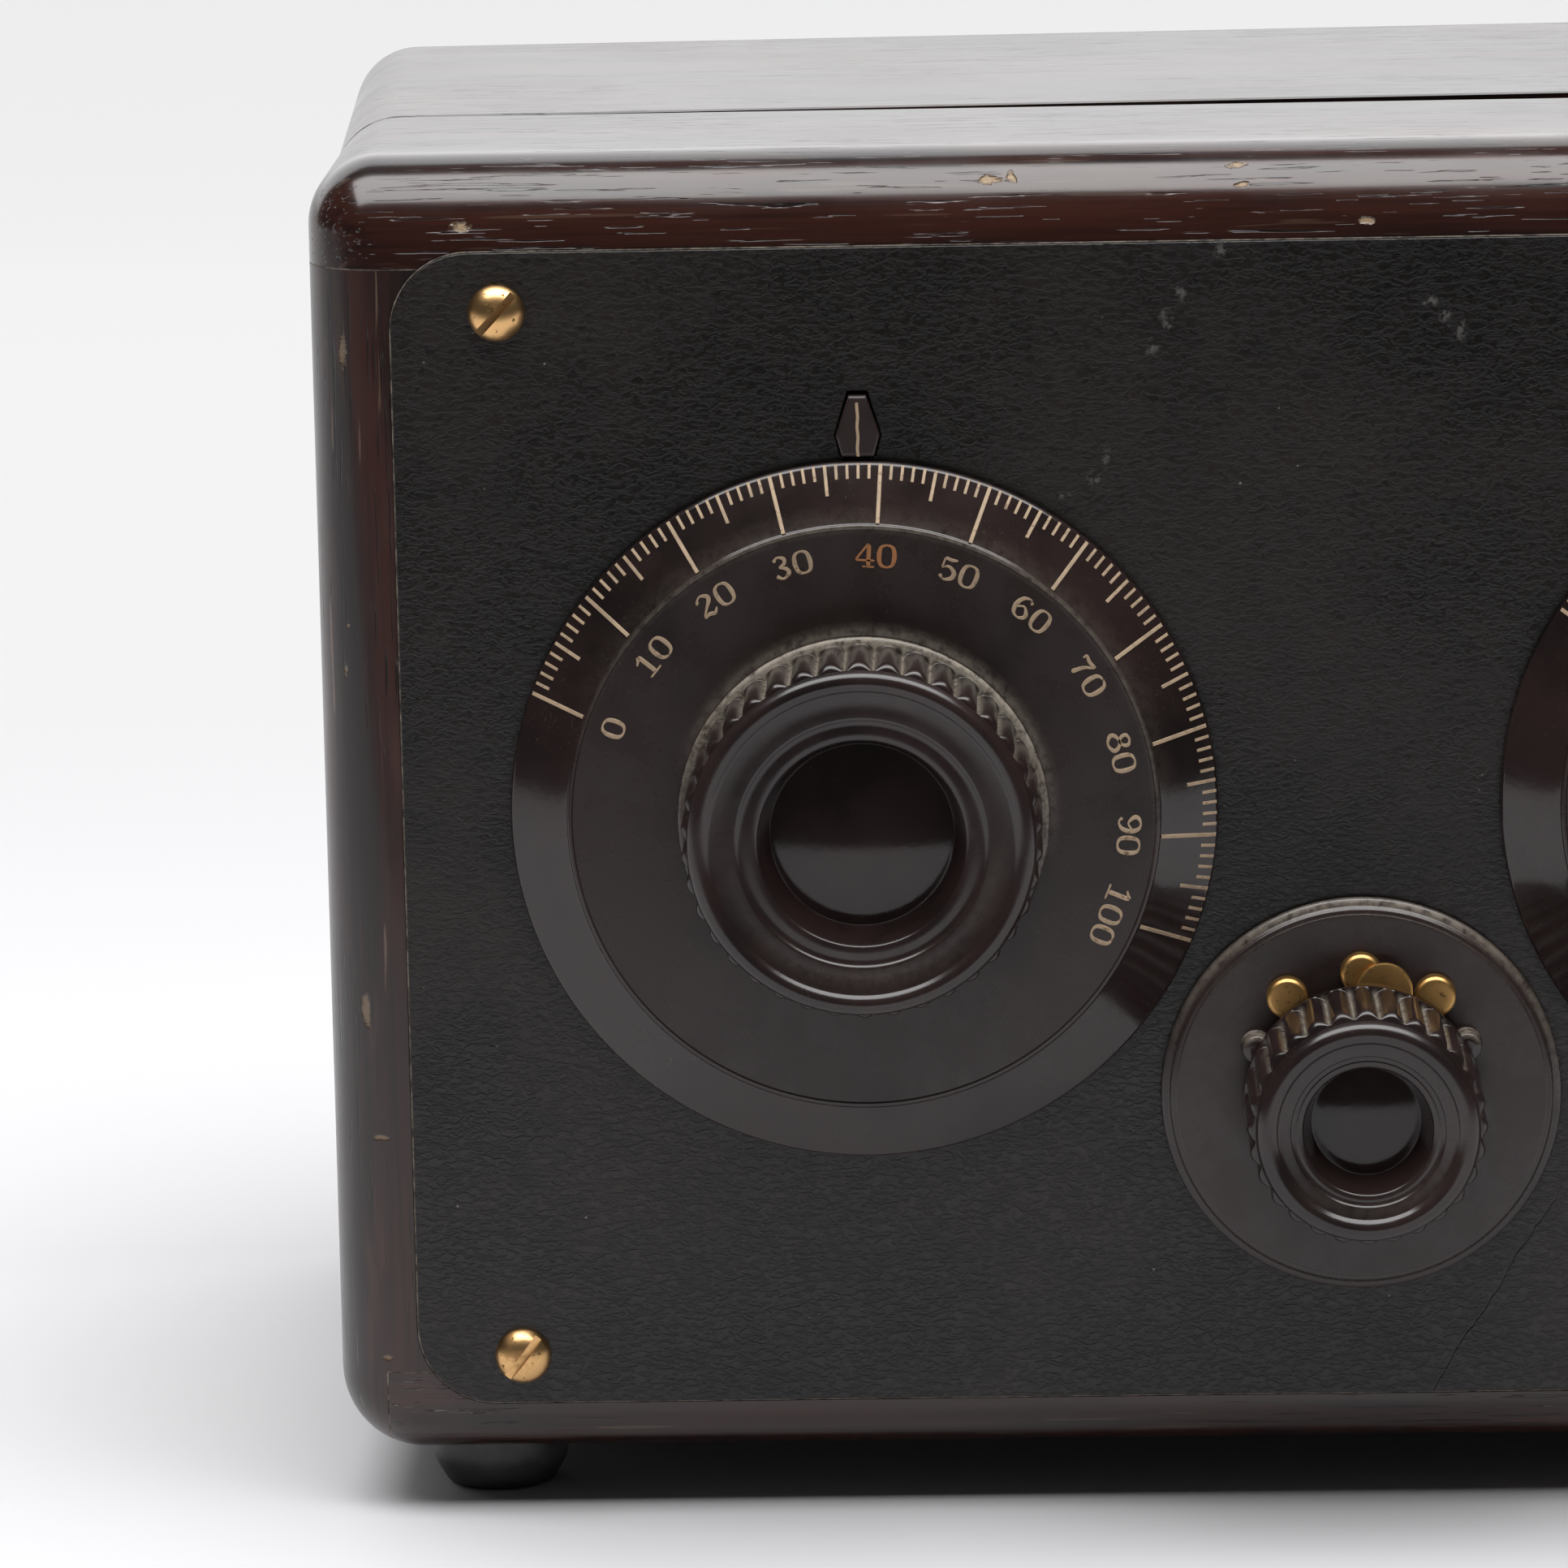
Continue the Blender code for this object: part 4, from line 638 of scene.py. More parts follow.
# Four boards from one ring and a back with a quarter-round rim, drawn shut and then swung ajar.
def rearCover():
    shutFront, shutBack = shutSpan()
    inside, gap, wall = shutBack - cabinet["back"], cabinet["joint"], cabinet["wall"]
    rows = [inXZ(outerLoop(0.25 * mm), shutFront), inXZ(outerLoop(), shutFront + 0.25 * mm)]
    rows += [inXZ(outerLoop(), y) for y in np.linspace(shutFront + 5 * mm, inside - 5 * mm, 6)]
    rows += [inXZ(outerLoop(), inside - gap / 4)]
    bore = roundedLoop(outerLow + wall, outerHigh - wall, 1 * mm, 1 * mm)
    rows += [inXZ(bore, inside - gap / 4), inXZ(bore, shutFront)]
    swing = np.array(shutToAjar)

    def swung(points):
        return points @ swing[:3, :3].T + swing[:3, 3]

    ring = makePiece("coverRing", [bandPart(np.array(rows), "coverWood")], "cover")
    far, wide = cabinet["far"], outerHigh[0] + 0.1
    topZ, lowZ = outerHigh[1] - cabinet["cornerTop"], outerLow[1] + cabinet["cornerBottom"]
    front, back = shutFront - far, shutBack + far

    def cut(fromX, toX, fromZ, toZ):
        return "DIFFERENCE", (fromX, front, fromZ), (toX, back, toZ)

    left, right = outerLow[0] - far, wide
    boards = {
        "coverTop": ([cut(left, right, -far, topZ + gap / 2)], "rear_top_board", "coverWood"),
        "coverBottom": ([cut(left, right, lowZ - gap / 2, 1)], "rear_bottom_board", "coverWood"),
        "coverLeft": ([cut(left, right, topZ - gap / 2, 1), cut(left, right, -far, lowZ + gap / 2),
                       cut(middleX, right, -far, 1)], "rear_left_board", "sideWood"),
        "coverRight": ([cut(left, right, topZ - gap / 2, 1), cut(left, right, -far, lowZ + gap / 2),
                        cut(left, middleX, -far, 1)], "rear_right_board", "sideWood"),
    }
    for name, (cuts, node, finish) in boards.items():
        board = carved(ring, name, cuts, "cover", [node], finish)
        board.data.transform(shutToAjar)
    bpy.data.objects.remove(ring)
    edge = cabinet["edge"]
    rim = [inXZ(outerLoop(0.05 * mm), inside), inXZ(outerLoop(), inside + 0.05 * mm)]
    rim += [inXZ(outerLoop(inset), depth) for inset, depth in roundOver(shutBack - edge * 0.7, shutBack)]
    makePiece("coverBack", [gridPart(swung(lidded(rim)), "backWood")], "cover", ["rear_back_board"])


# Front and back of the cover when shut: its boards' points turned back about the hinge.
def shutSpan():
    points = []
    for node in ("rear_top_board", "rear_back_board"):
        mesh = frame["nodes"][node].data
        corners = np.empty(len(mesh.vertices) * 3, dtype=np.float32)
        mesh.vertices.foreach_get("co", corners)
        points.append(corners.reshape(-1, 3))
    back = np.array(shutToAjar.inverted())
    depth = np.concatenate(points) @ back[1, :3] + back[1, 3]
    return float(depth.min()), float(depth.max())


frontSection()
rearCover()
print("cabinet made")


# The panel's outline with the two pointer slots as holes, filled, thickened and eased at its edges.
def panelPiece():
    ease = 0.15 * mm
    curve = bpy.data.curves.new("panel", "CURVE")
    curve.dimensions, curve.fill_mode = "2D", "BOTH"
    curve.extrude = (panelHigh.y - panelLow.y) / 2 - ease
    curve.bevel_depth, curve.bevel_resolution, curve.offset = ease, 2, -ease
    centre = np.array([(panelLow.x + panelHigh.x) / 2, (panelLow.z + panelHigh.z) / 2])
    half = np.array([panelHigh.x - panelLow.x, panelHigh.z - panelLow.z]) / 2
    corner = cabinet["panelCorner"]
    loops = [roundedLoop(-half, half, corner, corner)]
    for side in dialCentre:
        low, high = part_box(f"pointer_{side}")
        slot = pointerOutline(low, high, 0.16 * mm, 0.45 * mm) - centre
        loops.append(slot)
    for loop in loops:
        spline = curve.splines.new("POLY")
        spline.points.add(len(loop) - 1)
        flat = np.concatenate([loop, np.zeros((len(loop), 1)), np.ones((len(loop), 1))], 1)
        spline.points.foreach_set("co", flat.ravel())
        spline.use_cyclic_u = True
    helper = shown(bpy.data.objects.new("panelCurve", curve))
    mesh = finalMesh(helper)
    bpy.data.objects.remove(helper)
    stand = Matrix.Translation((centre[0], (panelLow.y + panelHigh.y) / 2, centre[1]))
    mesh.transform(stand @ Matrix.Rotation(math.radians(90), 4, "X"))
    mesh.materials.clear()
    mesh.materials.append(finishes["panel"])
    shaded(mesh, 30)
    hang(bpy.data.objects.new("panelBoard", mesh), "cabinet", ["front_panel"])


# (n, 2) outline of the tapered pointer: narrow top, wide waist a third of the way up, narrower foot.
def pointerOutline(low, high, grow=0.0, tail=0.0):
    x, foot, top = (low.x + high.x) / 2, low.z - grow, high.z + grow
    waist = foot + 0.35 * (top - foot)
    widest = (high.x - low.x) / 2
    base, tip = widest * 0.74 + grow, widest * 0.40 + grow
    right = [(base, foot), (widest + grow, waist), (tip, top + tail)]
    return np.array([(x + w, z) for w, z in right] + [(x - w, z) for w, z in reversed(right)])


# The pointer's outline stacked in depth with an eased front edge, and a painted line down its middle.
def pointerPiece(side):
    low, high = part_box(f"pointer_{side}")
    outline = pointerOutline(low, high)
    closer = np.concatenate([outline, outline[:1]])
    fine = np.concatenate([closer[i] + (closer[i + 1] - closer[i]) * np.linspace(0, 1, 9)[:-1, None]
                           for i in range(len(outline))])
    centre = fine.mean(0)
    rows = [inXZ(fine, high.y), inXZ(fine, low.y + 0.35 * mm),
            inXZ(centre + (fine - centre) * 0.97, low.y + 0.1 * mm),
            inXZ(centre + (fine - centre) * 0.90, low.y)]
    x, width = (low.x + high.x) / 2, 0.26 * mm
    z = np.linspace(low.z + 0.1 * mm, high.z - 0.9 * mm, 24)
    wander = 0.05 * mm * np.sin(z * 2100)
    depth = low.y - 0.04 * mm
    line = np.stack([np.stack([x + side_ * width + wander, np.full_like(z, d), z], -1)
                     for side_, d in ((-1, low.y + 0.3 * mm), (-0.8, depth), (0.8, depth),
                                      (1, low.y + 0.3 * mm))])
    line = line.transpose(1, 0, 2)
    makePiece(f"pointer{side.title()}",
              [gridPart(lidded(rows), "pointerBakelite"), gridPart(lidded(line), "cream")],
              "cabinet", [f"pointer_{side}"], sharp=50)


screw = {"slotTurns": (-47, 24, -52, 8), "slotHalf": 0.56 * mm, "slotDepth": 0.60, "crown": 0.84, "bowl": 80,
         "shank": 1.5 * mm}


# A round head, a slot cut across it, and the shank behind.
def screwPiece(number):
    low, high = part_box(f"panel_screw_{number}")
    x, z, radius, rise = (low.x + high.x) / 2, (low.z + high.z) / 2, (high.x - low.x) / 2, faceY - low.y
    turn = np.linspace(0, math.radians(screw["bowl"]), 14)
    bowl = radius / math.sin(turn[-1])
    cap = np.stack([bowl * np.sin(turn),
                    rise - (1 - np.cos(turn)) * rise / (1 - math.cos(turn[-1])) * screw["crown"]], -1)
    path = np.concatenate([cap, [(radius, rise * 0.10), (radius * 0.97, 0.0), (screw["shank"], 0.0),
                                 (screw["shank"], faceY - high.y), (0.0, faceY - high.y)]])
    head = makePiece(f"panelScrew{number}",
                     [gridPart(revolved(path, (x, faceY, z), toFront, 72), "wornBrass")],
                     "cabinet", [f"panel_screw_{number}"])
    turnBy = math.radians(screw["slotTurns"][number - 1])
    half, foot = screw["slotHalf"], rise * (1 - screw["slotDepth"])
    cutter = blockObject("slotCutter", (-2 * radius, -rise * 1.3, -half), (2 * radius, -foot, half))
    cutter.data.transform(Matrix.Translation((x, faceY, z)) @ Matrix.Rotation(turnBy, 4, "Y"))
    # The slot's cut faces take the near-black finish: grime, and painted shade in the recess
    cutter.data.materials.append(finishes["slotGrimeAndShade"])
    modifier = head.modifiers.new("slot", "BOOLEAN")
    modifier.operation, modifier.object = "DIFFERENCE", cutter
    mesh = finalMesh(head)
    head.modifiers.clear()
    head.data = mesh
    mesh.set_sharp_from_angle(angle=math.radians(38))
    bpy.data.objects.remove(cutter)


# A hair-thin ring of pale dust in the gap round the panel, closed behind.
def panelDust():
    corner, gap = cabinet["panelCorner"], cabinet["panelGap"]
    low, high = np.array([panelLow.x, panelLow.z]), np.array([panelHigh.x, panelHigh.z])
    rows = [inXZ(roundedLoop(low - grow, high + grow, corner + grow, corner + grow), frontY + depth)
            for grow, depth in ((gap * 1.02, 0.10 * mm), (gap * 0.7, 0.0), (gap * 0.3, -0.04 * mm),
                                (0.0, 0.02 * mm), (0.0, 1.2 * mm), (gap * 1.02, 1.2 * mm))]
    makePiece("panelEdgeDust", [bandPart(np.array(rows), "joint")], "cabinet")


panelPiece()
panelDust()
for side in dialCentre:
    pointerPiece(side)
for number in (1, 2, 3, 4):
    screwPiece(number)
print("panel made")


dial = {"radius": 50 * mm, "rimHeight": 1.5 * mm, "plateau": 41.65 * mm, "height": 6.1 * mm, "back": 0.8 * mm,
        "hole": 12 * mm, "ticks": (49.75 * mm, 47.75 * mm, 45.7 * mm, 41.95 * mm),
        "tickWidths": (0.23 * mm, 0.26 * mm, 0.29 * mm), "numberRadius": 37.4 * mm, "numberHeight": 3.45 * mm,
        "numberWidth": 1.36, "numberStep": 0.90,
        "painted": 0.05 * mm}

# Strokes of each figure in a box one high: (x, y, pen width) along the middle of each stroke
figureStrokes = {
    "0": [[(.30, .95, .09), (.48, .84, .16), (.53, .50, .21), (.48, .16, .16), (.30, .05, .09),
           (.12, .16, .16),
           (.07, .50, .21), (.12, .84, .16), (.30, .95, .09)]],
    "1": [[(.08, .78, .07), (.18, .84, .12), (.30, .97, .16)], [(.32, .98, .20), (.32, .05, .20)],
          [(.08, .04, .09), (.56, .04, .09)]],
    "2": [[(.13, .72, .19), (.11, .80, .10), (.28, .95, .10), (.47, .82, .19), (.46, .64, .19),
           (.28, .40, .12),
           (.08, .12, .09)], [(.07, .08, .11), (.25, .13, .17), (.42, .06, .16), (.56, .24, .06)]],
    "3": [[(.12, .80, .17), (.26, .95, .09), (.44, .84, .17), (.42, .64, .15), (.26, .53, .08),
           (.44, .42, .16),
           (.49, .22, .19), (.30, .05, .10), (.11, .20, .18)]],
    "4": [[(.40, .98, .10), (.20, .62, .09), (.04, .31, .09)], [(.04, .30, .09), (.60, .30, .09)],
          [(.42, .96, .19), (.42, .05, .19)], [(.24, .04, .08), (.60, .04, .08)]],
    "5": [[(.12, .92, .13), (.30, .89, .15), (.50, .95, .10)], [(.12, .92, .09), (.11, .50, .08)],
          [(.11, .50, .08), (.30, .61, .12), (.50, .44, .20), (.49, .20, .20), (.28, .05, .10),
           (.11, .19, .17)]],
    "6": [[(.47, .82, .16), (.34, .95, .08), (.15, .82, .17), (.07, .48, .21), (.14, .16, .17),
           (.31, .05, .09),
           (.48, .16, .17), (.50, .34, .19), (.32, .56, .09), (.12, .40, .10)]],
    "7": [[(.08, .76, .07), (.09, .93, .12), (.30, .88, .17), (.54, .95, .11)],
          [(.54, .93, .08), (.34, .55, .15), (.24, .06, .21)]],
    "8": [[(.30, .95, .10), (.45, .85, .16), (.43, .66, .15), (.30, .54, .12), (.17, .66, .15),
           (.15, .85, .16),
           (.30, .95, .10)], [(.30, .54, .12), (.50, .40, .17), (.52, .20, .18), (.30, .05, .10),
                              (.08, .20, .18),
                              (.10, .40, .17), (.30, .54, .12)]],
}
figureStrokes["9"] = [[(0.60 - x, 1.0 - y, w) for x, y, w in stroke] for stroke in figureStrokes["6"]]


# (rows, 4, 2) ribbon: a Catmull-Rom curve through the points, its edges half a pen width to either side,
# as left edge, left and right inner lines, and right edge.
def strokeSurface(points, steps=9):
    points = np.array(points, float) * (dial["numberWidth"], 1.0, 1.0)
    padded = np.concatenate([2 * points[:1] - points[1:2], points, 2 * points[-1:] - points[-2:-1]])
    if np.allclose(points[0, :2], points[-1, :2]):
        padded[0], padded[-1] = points[-2], points[1]
    t = np.linspace(0, 1, steps, endpoint=False)[:, None]
    spans = [0.5 * (2 * b + (c - a) * t + (2 * a - 5 * b + 4 * c - d) * t**2 + (3 * b - a - 3 * c + d) * t**3)
             for a, b, c, d in zip(padded, padded[1:], padded[2:], padded[3:])]
    line = np.concatenate(spans + [points[-1:]])
    run = np.gradient(line[:, :2], axis=0)
    run /= np.maximum(np.linalg.norm(run, axis=1, keepdims=True), 1e-9)
    side = np.stack([-run[:, 1], run[:, 0]], -1)
    half = line[:, 2:] / 2
    ends = np.ones(len(line))
    if not np.allclose(points[0, :2], points[-1, :2]):
        ends[[0, -1]] = 0.55
    half = half * ends[:, None]
    return np.stack([line[:, :2] + side * half * k for k in (1.0, 0.75, -0.75, -1.0)], 1)


# Each stroke laid on the plateau at its angle, its middle raised by the paint's thickness.
def numberParts(text, angle, centre, finish):
    height, width = dial["numberHeight"], dial["numberStep"]
    parts = []
    start = -width * len(text) / 2
    for index, figure in enumerate(text):
        for stroke in figureStrokes[figure]:
            ribbon = strokeSurface(stroke)
            across = (ribbon[..., 0] + start + width * index + 0.03) * height
            radius = dial["numberRadius"] + (ribbon[..., 1] - 0.5) * height
            rise = np.array([-0.4, 1.0, 1.0, -0.4]) * dial["painted"]
            out = dial["height"] + np.broadcast_to(rise, across.shape)
            x = across * math.cos(angle) + radius * math.sin(angle)
            z = -across * math.sin(angle) + radius * math.cos(angle)
            points = np.stack([centre[0] + x, centre[1] - out, centre[2] + z], -1)
            bottom = points[:, [3, 0]] * 1.0
            bottom[..., 1] = centre[1] - dial["height"] + dial["painted"]
            parts.append(gridPart(lidded(np.concatenate([points, bottom], 1)), finish))
    return parts


# 101 painted bars up the slope: every tenth full length, every fifth half; each is a closed strip whose
# face follows the cone between rim and plateau.
def tickParts(centre, perDivision, reading):
    outer = dial["ticks"][0]
    parts = []
    slope = (dial["height"] - dial["rimHeight"]) / (dial["radius"] - dial["plateau"])
    for every, inner, half in ((1, dial["ticks"][1], dial["tickWidths"][0]),
                               (5, dial["ticks"][2], dial["tickWidths"][1]),
                               (10, dial["ticks"][3], dial["tickWidths"][2])):
        divisions = np.array([d for d in range(101) if d % every == 0 and not (every < 10 and d % 5 == 0
                              and (every == 1 or d % 10 == 0))])
        angles = np.radians((divisions - reading) * perDivision)
        radius = np.array([outer, outer - 0.05 * mm, inner + 0.05 * mm, inner])
        out = dial["rimHeight"] + (dial["radius"] - radius) * slope
        lift = np.array([-0.3, 1.0, 1.0, -0.3]) * dial["painted"]
        section = [(-1.0, lift * 0 - dial["painted"]), (-0.8, lift), (0.8, lift),
                   (1.0, lift * 0 - dial["painted"])]
        for angle in angles:
            columns = []
            for side, rise in section:
                across = side * half
                x = radius * math.sin(angle) + across * math.cos(angle)
                z = radius * math.cos(angle) - across * math.sin(angle)
                columns.append(np.stack([centre[0] + x, centre[1] - out - rise, centre[2] + z], -1))
            parts.append(gridPart(lidded(np.stack(columns, 1)), "cream"))
    return parts


# Plateau, a small step, the sloping scale and a rim; grime gathers on the upper edge of the plateau.
def dialPiece(side):
    centre = dialCentre[side]
    turnJoint = joints[f"{side}_dial_turn"]["range_deg"]
    perDivision = (turnJoint[1] - turnJoint[0]) / 100
    reading = turnJoint[1] / perDivision
    top, edge, rim, radius = dial["height"], dial["plateau"], dial["rimHeight"], dial["radius"]
    path = np.concatenate([
        np.array([(r * mm, top) for r in (12, 25.6, 26.3, 26.8, 27.4, 28.2, 29.4, 31.5, 36, 40.4)]),
        eased([(41.0 * mm, top), (41.2 * mm, top + 0.16 * mm, 0.06 * mm), (edge, top + 0.12 * mm, 0.14 * mm),
               (edge + 0.20 * mm, top - 0.22 * mm, 0.1 * mm), (edge + 1.2 * mm, top - 0.78 * mm)], 4),
        eased([(edge + 3 * mm, top - 1.71 * mm), (radius - 0.2 * mm, rim + 0.1 * mm, 0.35 * mm),
               (radius, rim - 0.35 * mm, 0.2 * mm), (radius, dial["back"] + 0.05 * mm),
               (radius - 0.1 * mm, dial["back"])], 4),
        np.array([(dial["hole"], dial["back"])])])
    steps = 256
    surface = revolved(path, centre, toFront, steps)
    angle = np.arange(steps) * 2 * np.pi / steps
    upper = np.clip(np.cos(angle - 0.25), 0, 1) ** 0.8
    radii, heights = path[:, :1], path[:, 1:]
    nearKnob = np.exp(-((radii - 26.4 * mm) / (0.9 * mm)) ** 2) * (heights > 5 * mm)
    step = np.exp(-((radii - 41.35 * mm) / (0.35 * mm)) ** 2) * (heights > 5 * mm)
    slopeDust = np.exp(-((radii - 42.6 * mm) / (1.4 * mm)) ** 2) * (heights > 3 * mm)
    grime = (0.62 * nearKnob + 0.42 * step + 0.07 * slopeDust) * upper[None]
    flat = int(np.argmax(path[:, 0] > edge - 0.3 * mm))
    body = gridPart(surface[flat:], "dialBakelite")
    plateau = gridPart(surface[:flat + 1], "plateauBakelite")
    back = gridPart(surface[[-1, 0]], "plateauBakelite")
    grime = np.concatenate([grime[flat:], grime[:flat + 1], grime[[-1, 0]]])
    parts = [body, plateau, back] + tickParts(centre, perDivision, reading)
    for value in range(0, 101, 10):
        finish = "amber" if value == 40 and side == "left" else "cream"
        parts += numberParts(str(value), math.radians((value - reading) * perDivision), centre, finish)
    total = sum(len(part["points"]) for part in parts)
    allGrime = np.zeros(total)
    allGrime[:grime.size] = grime.ravel()
    makePiece(f"dial{side.title()}", parts, f"{side}_tuning", [f"dial_{side}"], grime=allGrime)


bigKnob = {"ribs": 38, "flange": 26.2, "flangeTop": 8.3, "rib": 25.2, "groove": 23.95, "seat": 6.4,
           "lip": 24.35,
           "roll": 1.6, "top": 25.98, "ribEnd": 23.1, "shelf": 25.0, "step": 17.2, "ring": 24.5, "well": 14.3,
           "floor": 18.0, "floorEdge": 12.9, "dome": 0.95, "shape": 0.40}
smallKnob = {"ribs": 28, "flange": 16.9, "flangeTop": 6.9, "rib": 16.8, "groove": 15.75, "seat": 6.2,
             "lip": 15.7, "roll": 1.7, "top": 25.98, "ribEnd": 22.9, "shelf": 24.9, "step": 10.6,
             "ring": 24.4,
             "well": 8.9, "floor": 18.0, "floorEdge": 7.7, "dome": 0.5, "shape": 0.42}


# Rows (radius, height, rib share): between flange and lip the radius swells from groove to rib by ((1 +
# cos(n a)) / 2) to a power, and the ribs round off before the lip; a domed floor closes the well.
def knobPiece(name, knob, centre, body, node):
    k = {key: value * mm if key not in ("ribs", "shape") else value for key, value in knob.items()}
    flange, flangeTop, rib, groove, seat = k["flange"], k["flangeTop"], k["rib"], k["groove"], k["seat"]
    ribEnd, lip, roll = k["ribEnd"], k["lip"], k["roll"]
    rows = [(3.5 * mm, seat, 0), (flange - 0.3 * mm, seat, 0), (flange, seat + 0.25 * mm, 0)]
    flanged = flange - rib > 0.5 * mm
    if flanged:
        rows += [(flange, flangeTop - 0.7 * mm, 0), (flange - 0.12 * mm, flangeTop - 0.25 * mm, 0),
                 (flange - 0.45 * mm, flangeTop, 0), (rib + 0.25 * mm, flangeTop + 0.02 * mm, 0)]
    start = flangeTop + 0.05 * mm
    rows += [(rib + 0.02 * mm, start, 0.0), (rib, start + 0.04 * mm, 0.8), (rib, start + 0.10 * mm, 1)]
    rows += [(rib, h, 1) for h in np.linspace(start + 1.2 * mm, ribEnd - 1.0 * mm, 10)]
    for t in np.linspace(0, np.pi / 2, 8):
        rows.append((rib - (rib - groove) * (1 - math.cos(t)), ribEnd - 1.0 * mm + 1.0 * mm * math.sin(t),
                     math.cos(t)))
    rows += [(groove - 0.15 * mm, ribEnd + 0.12 * mm, 0), (lip - 0.75 * mm, ribEnd + 0.20 * mm, 0)]
    for t in np.linspace(-0.9, np.pi / 2 + 0.80, 24):
        rows.append((lip - roll + roll * math.cos(t), k["top"] - roll + roll * math.sin(t), 0))
    shelf, step, ring, well, floor = k["shelf"], k["step"], k["ring"], k["well"], k["floor"]
    innerLip = lip - roll - roll * math.sin(0.80)
    inner = eased([(rows[-1][0], rows[-1][1]), (innerLip - 0.32 * mm, shelf + 0.20 * mm, 0.3 * mm),
                   (innerLip - 2.0 * mm, shelf, 0.9 * mm), (step + 0.35 * mm, shelf - 0.01 * mm, 0.3 * mm),
                   (step, ring + 0.12 * mm, 0.3 * mm), (step - 0.5 * mm, ring + 0.02 * mm, 0.3 * mm),
                   (well + 1.0 * mm, ring + 0.10 * mm, 0.5 * mm),
                   (well + 0.25 * mm, ring - 0.05 * mm, 0.4 * mm),
                   (well - 0.02 * mm, ring - 0.9 * mm, 0.4 * mm),
                   (k["floorEdge"], floor - 0.05 * mm, 0.05 * mm), (k["floorEdge"] - 0.4 * mm, floor)], 6)
    rows += [(r, h, 0) for r, h in inner[1:-1]]
    span = np.linspace(1, 0, 14)
    rows += [((k["floorEdge"] - 0.4 * mm) * s, floor + k["dome"] * (1 - s * s), 0) for s in span]
    rows = np.array(rows)
    steps = knob["ribs"] * 12
    angle = np.arange(steps) * 2 * np.pi / steps
    swell = ((1 + np.cos(knob["ribs"] * angle)) / 2) ** knob["shape"]
    ribbed = np.minimum(rows[:, 2:], 1)
    fall = (rib - groove) * ribbed * (1 - swell)[None]
    radius = rows[:, :1] - fall
    x = radius * np.sin(angle)[None]
    z = radius * np.cos(angle)[None]
    y = np.broadcast_to(rows[:, 1:2], x.shape)
    surface = np.stack([centre[0] + x, centre[1] - y, centre[2] + z], -1)
    upper = np.clip(0.35 + 0.9 * np.cos(angle - 0.2), 0, 1)
    radii, heights = rows[:, :1], rows[:, 1:2]
    grime = 0.85 * np.clip((0.52 - swell) / 0.52, 0, 1)[None] * ribbed * upper[None]
    if flanged:
        grime = grime + (np.abs(heights - flangeTop) < 0.45 * mm) * (radii > rib) * upper[None]
    trough = np.exp(-((radii - (lip - 2 * roll + step) / 2) / (1.6 * mm)) ** 2) * (heights > floor + 2 * mm)
    lower = np.clip(-np.cos(angle + 0.3), 0, 1)
    grime = np.clip(grime + 0.07 * trough * lower[None], 0, 1)
    first = len(rows) - len(span) - 9
    parts = [gridPart(surface[:first + 1], "knobBakelite"), gridPart(surface[first:], "wellBakelite")]
    grime = np.concatenate([grime[:first + 1], grime[first:]])
    makePiece(name, parts, body, [node], grime=grime, sharp=60)


for side in dialCentre:
    dialPiece(side)
    knobPiece(f"knob{side.title()}", bigKnob, dialCentre[side], f"{side}_tuning", f"knob_{side}")
knobPiece("selectorKnob", smallKnob, switchCentre, "selector", "switch_knob")
print("dials and knobs made")


switch = {"radius": 28.4 * mm, "thickness": 2.4 * mm, "gap": 0.3 * mm, "stop": 2.0 * mm,
          "stopCircle": 16.7 * mm,
          "stopAngle": 63.0, "stopTop": 5.8 * mm}


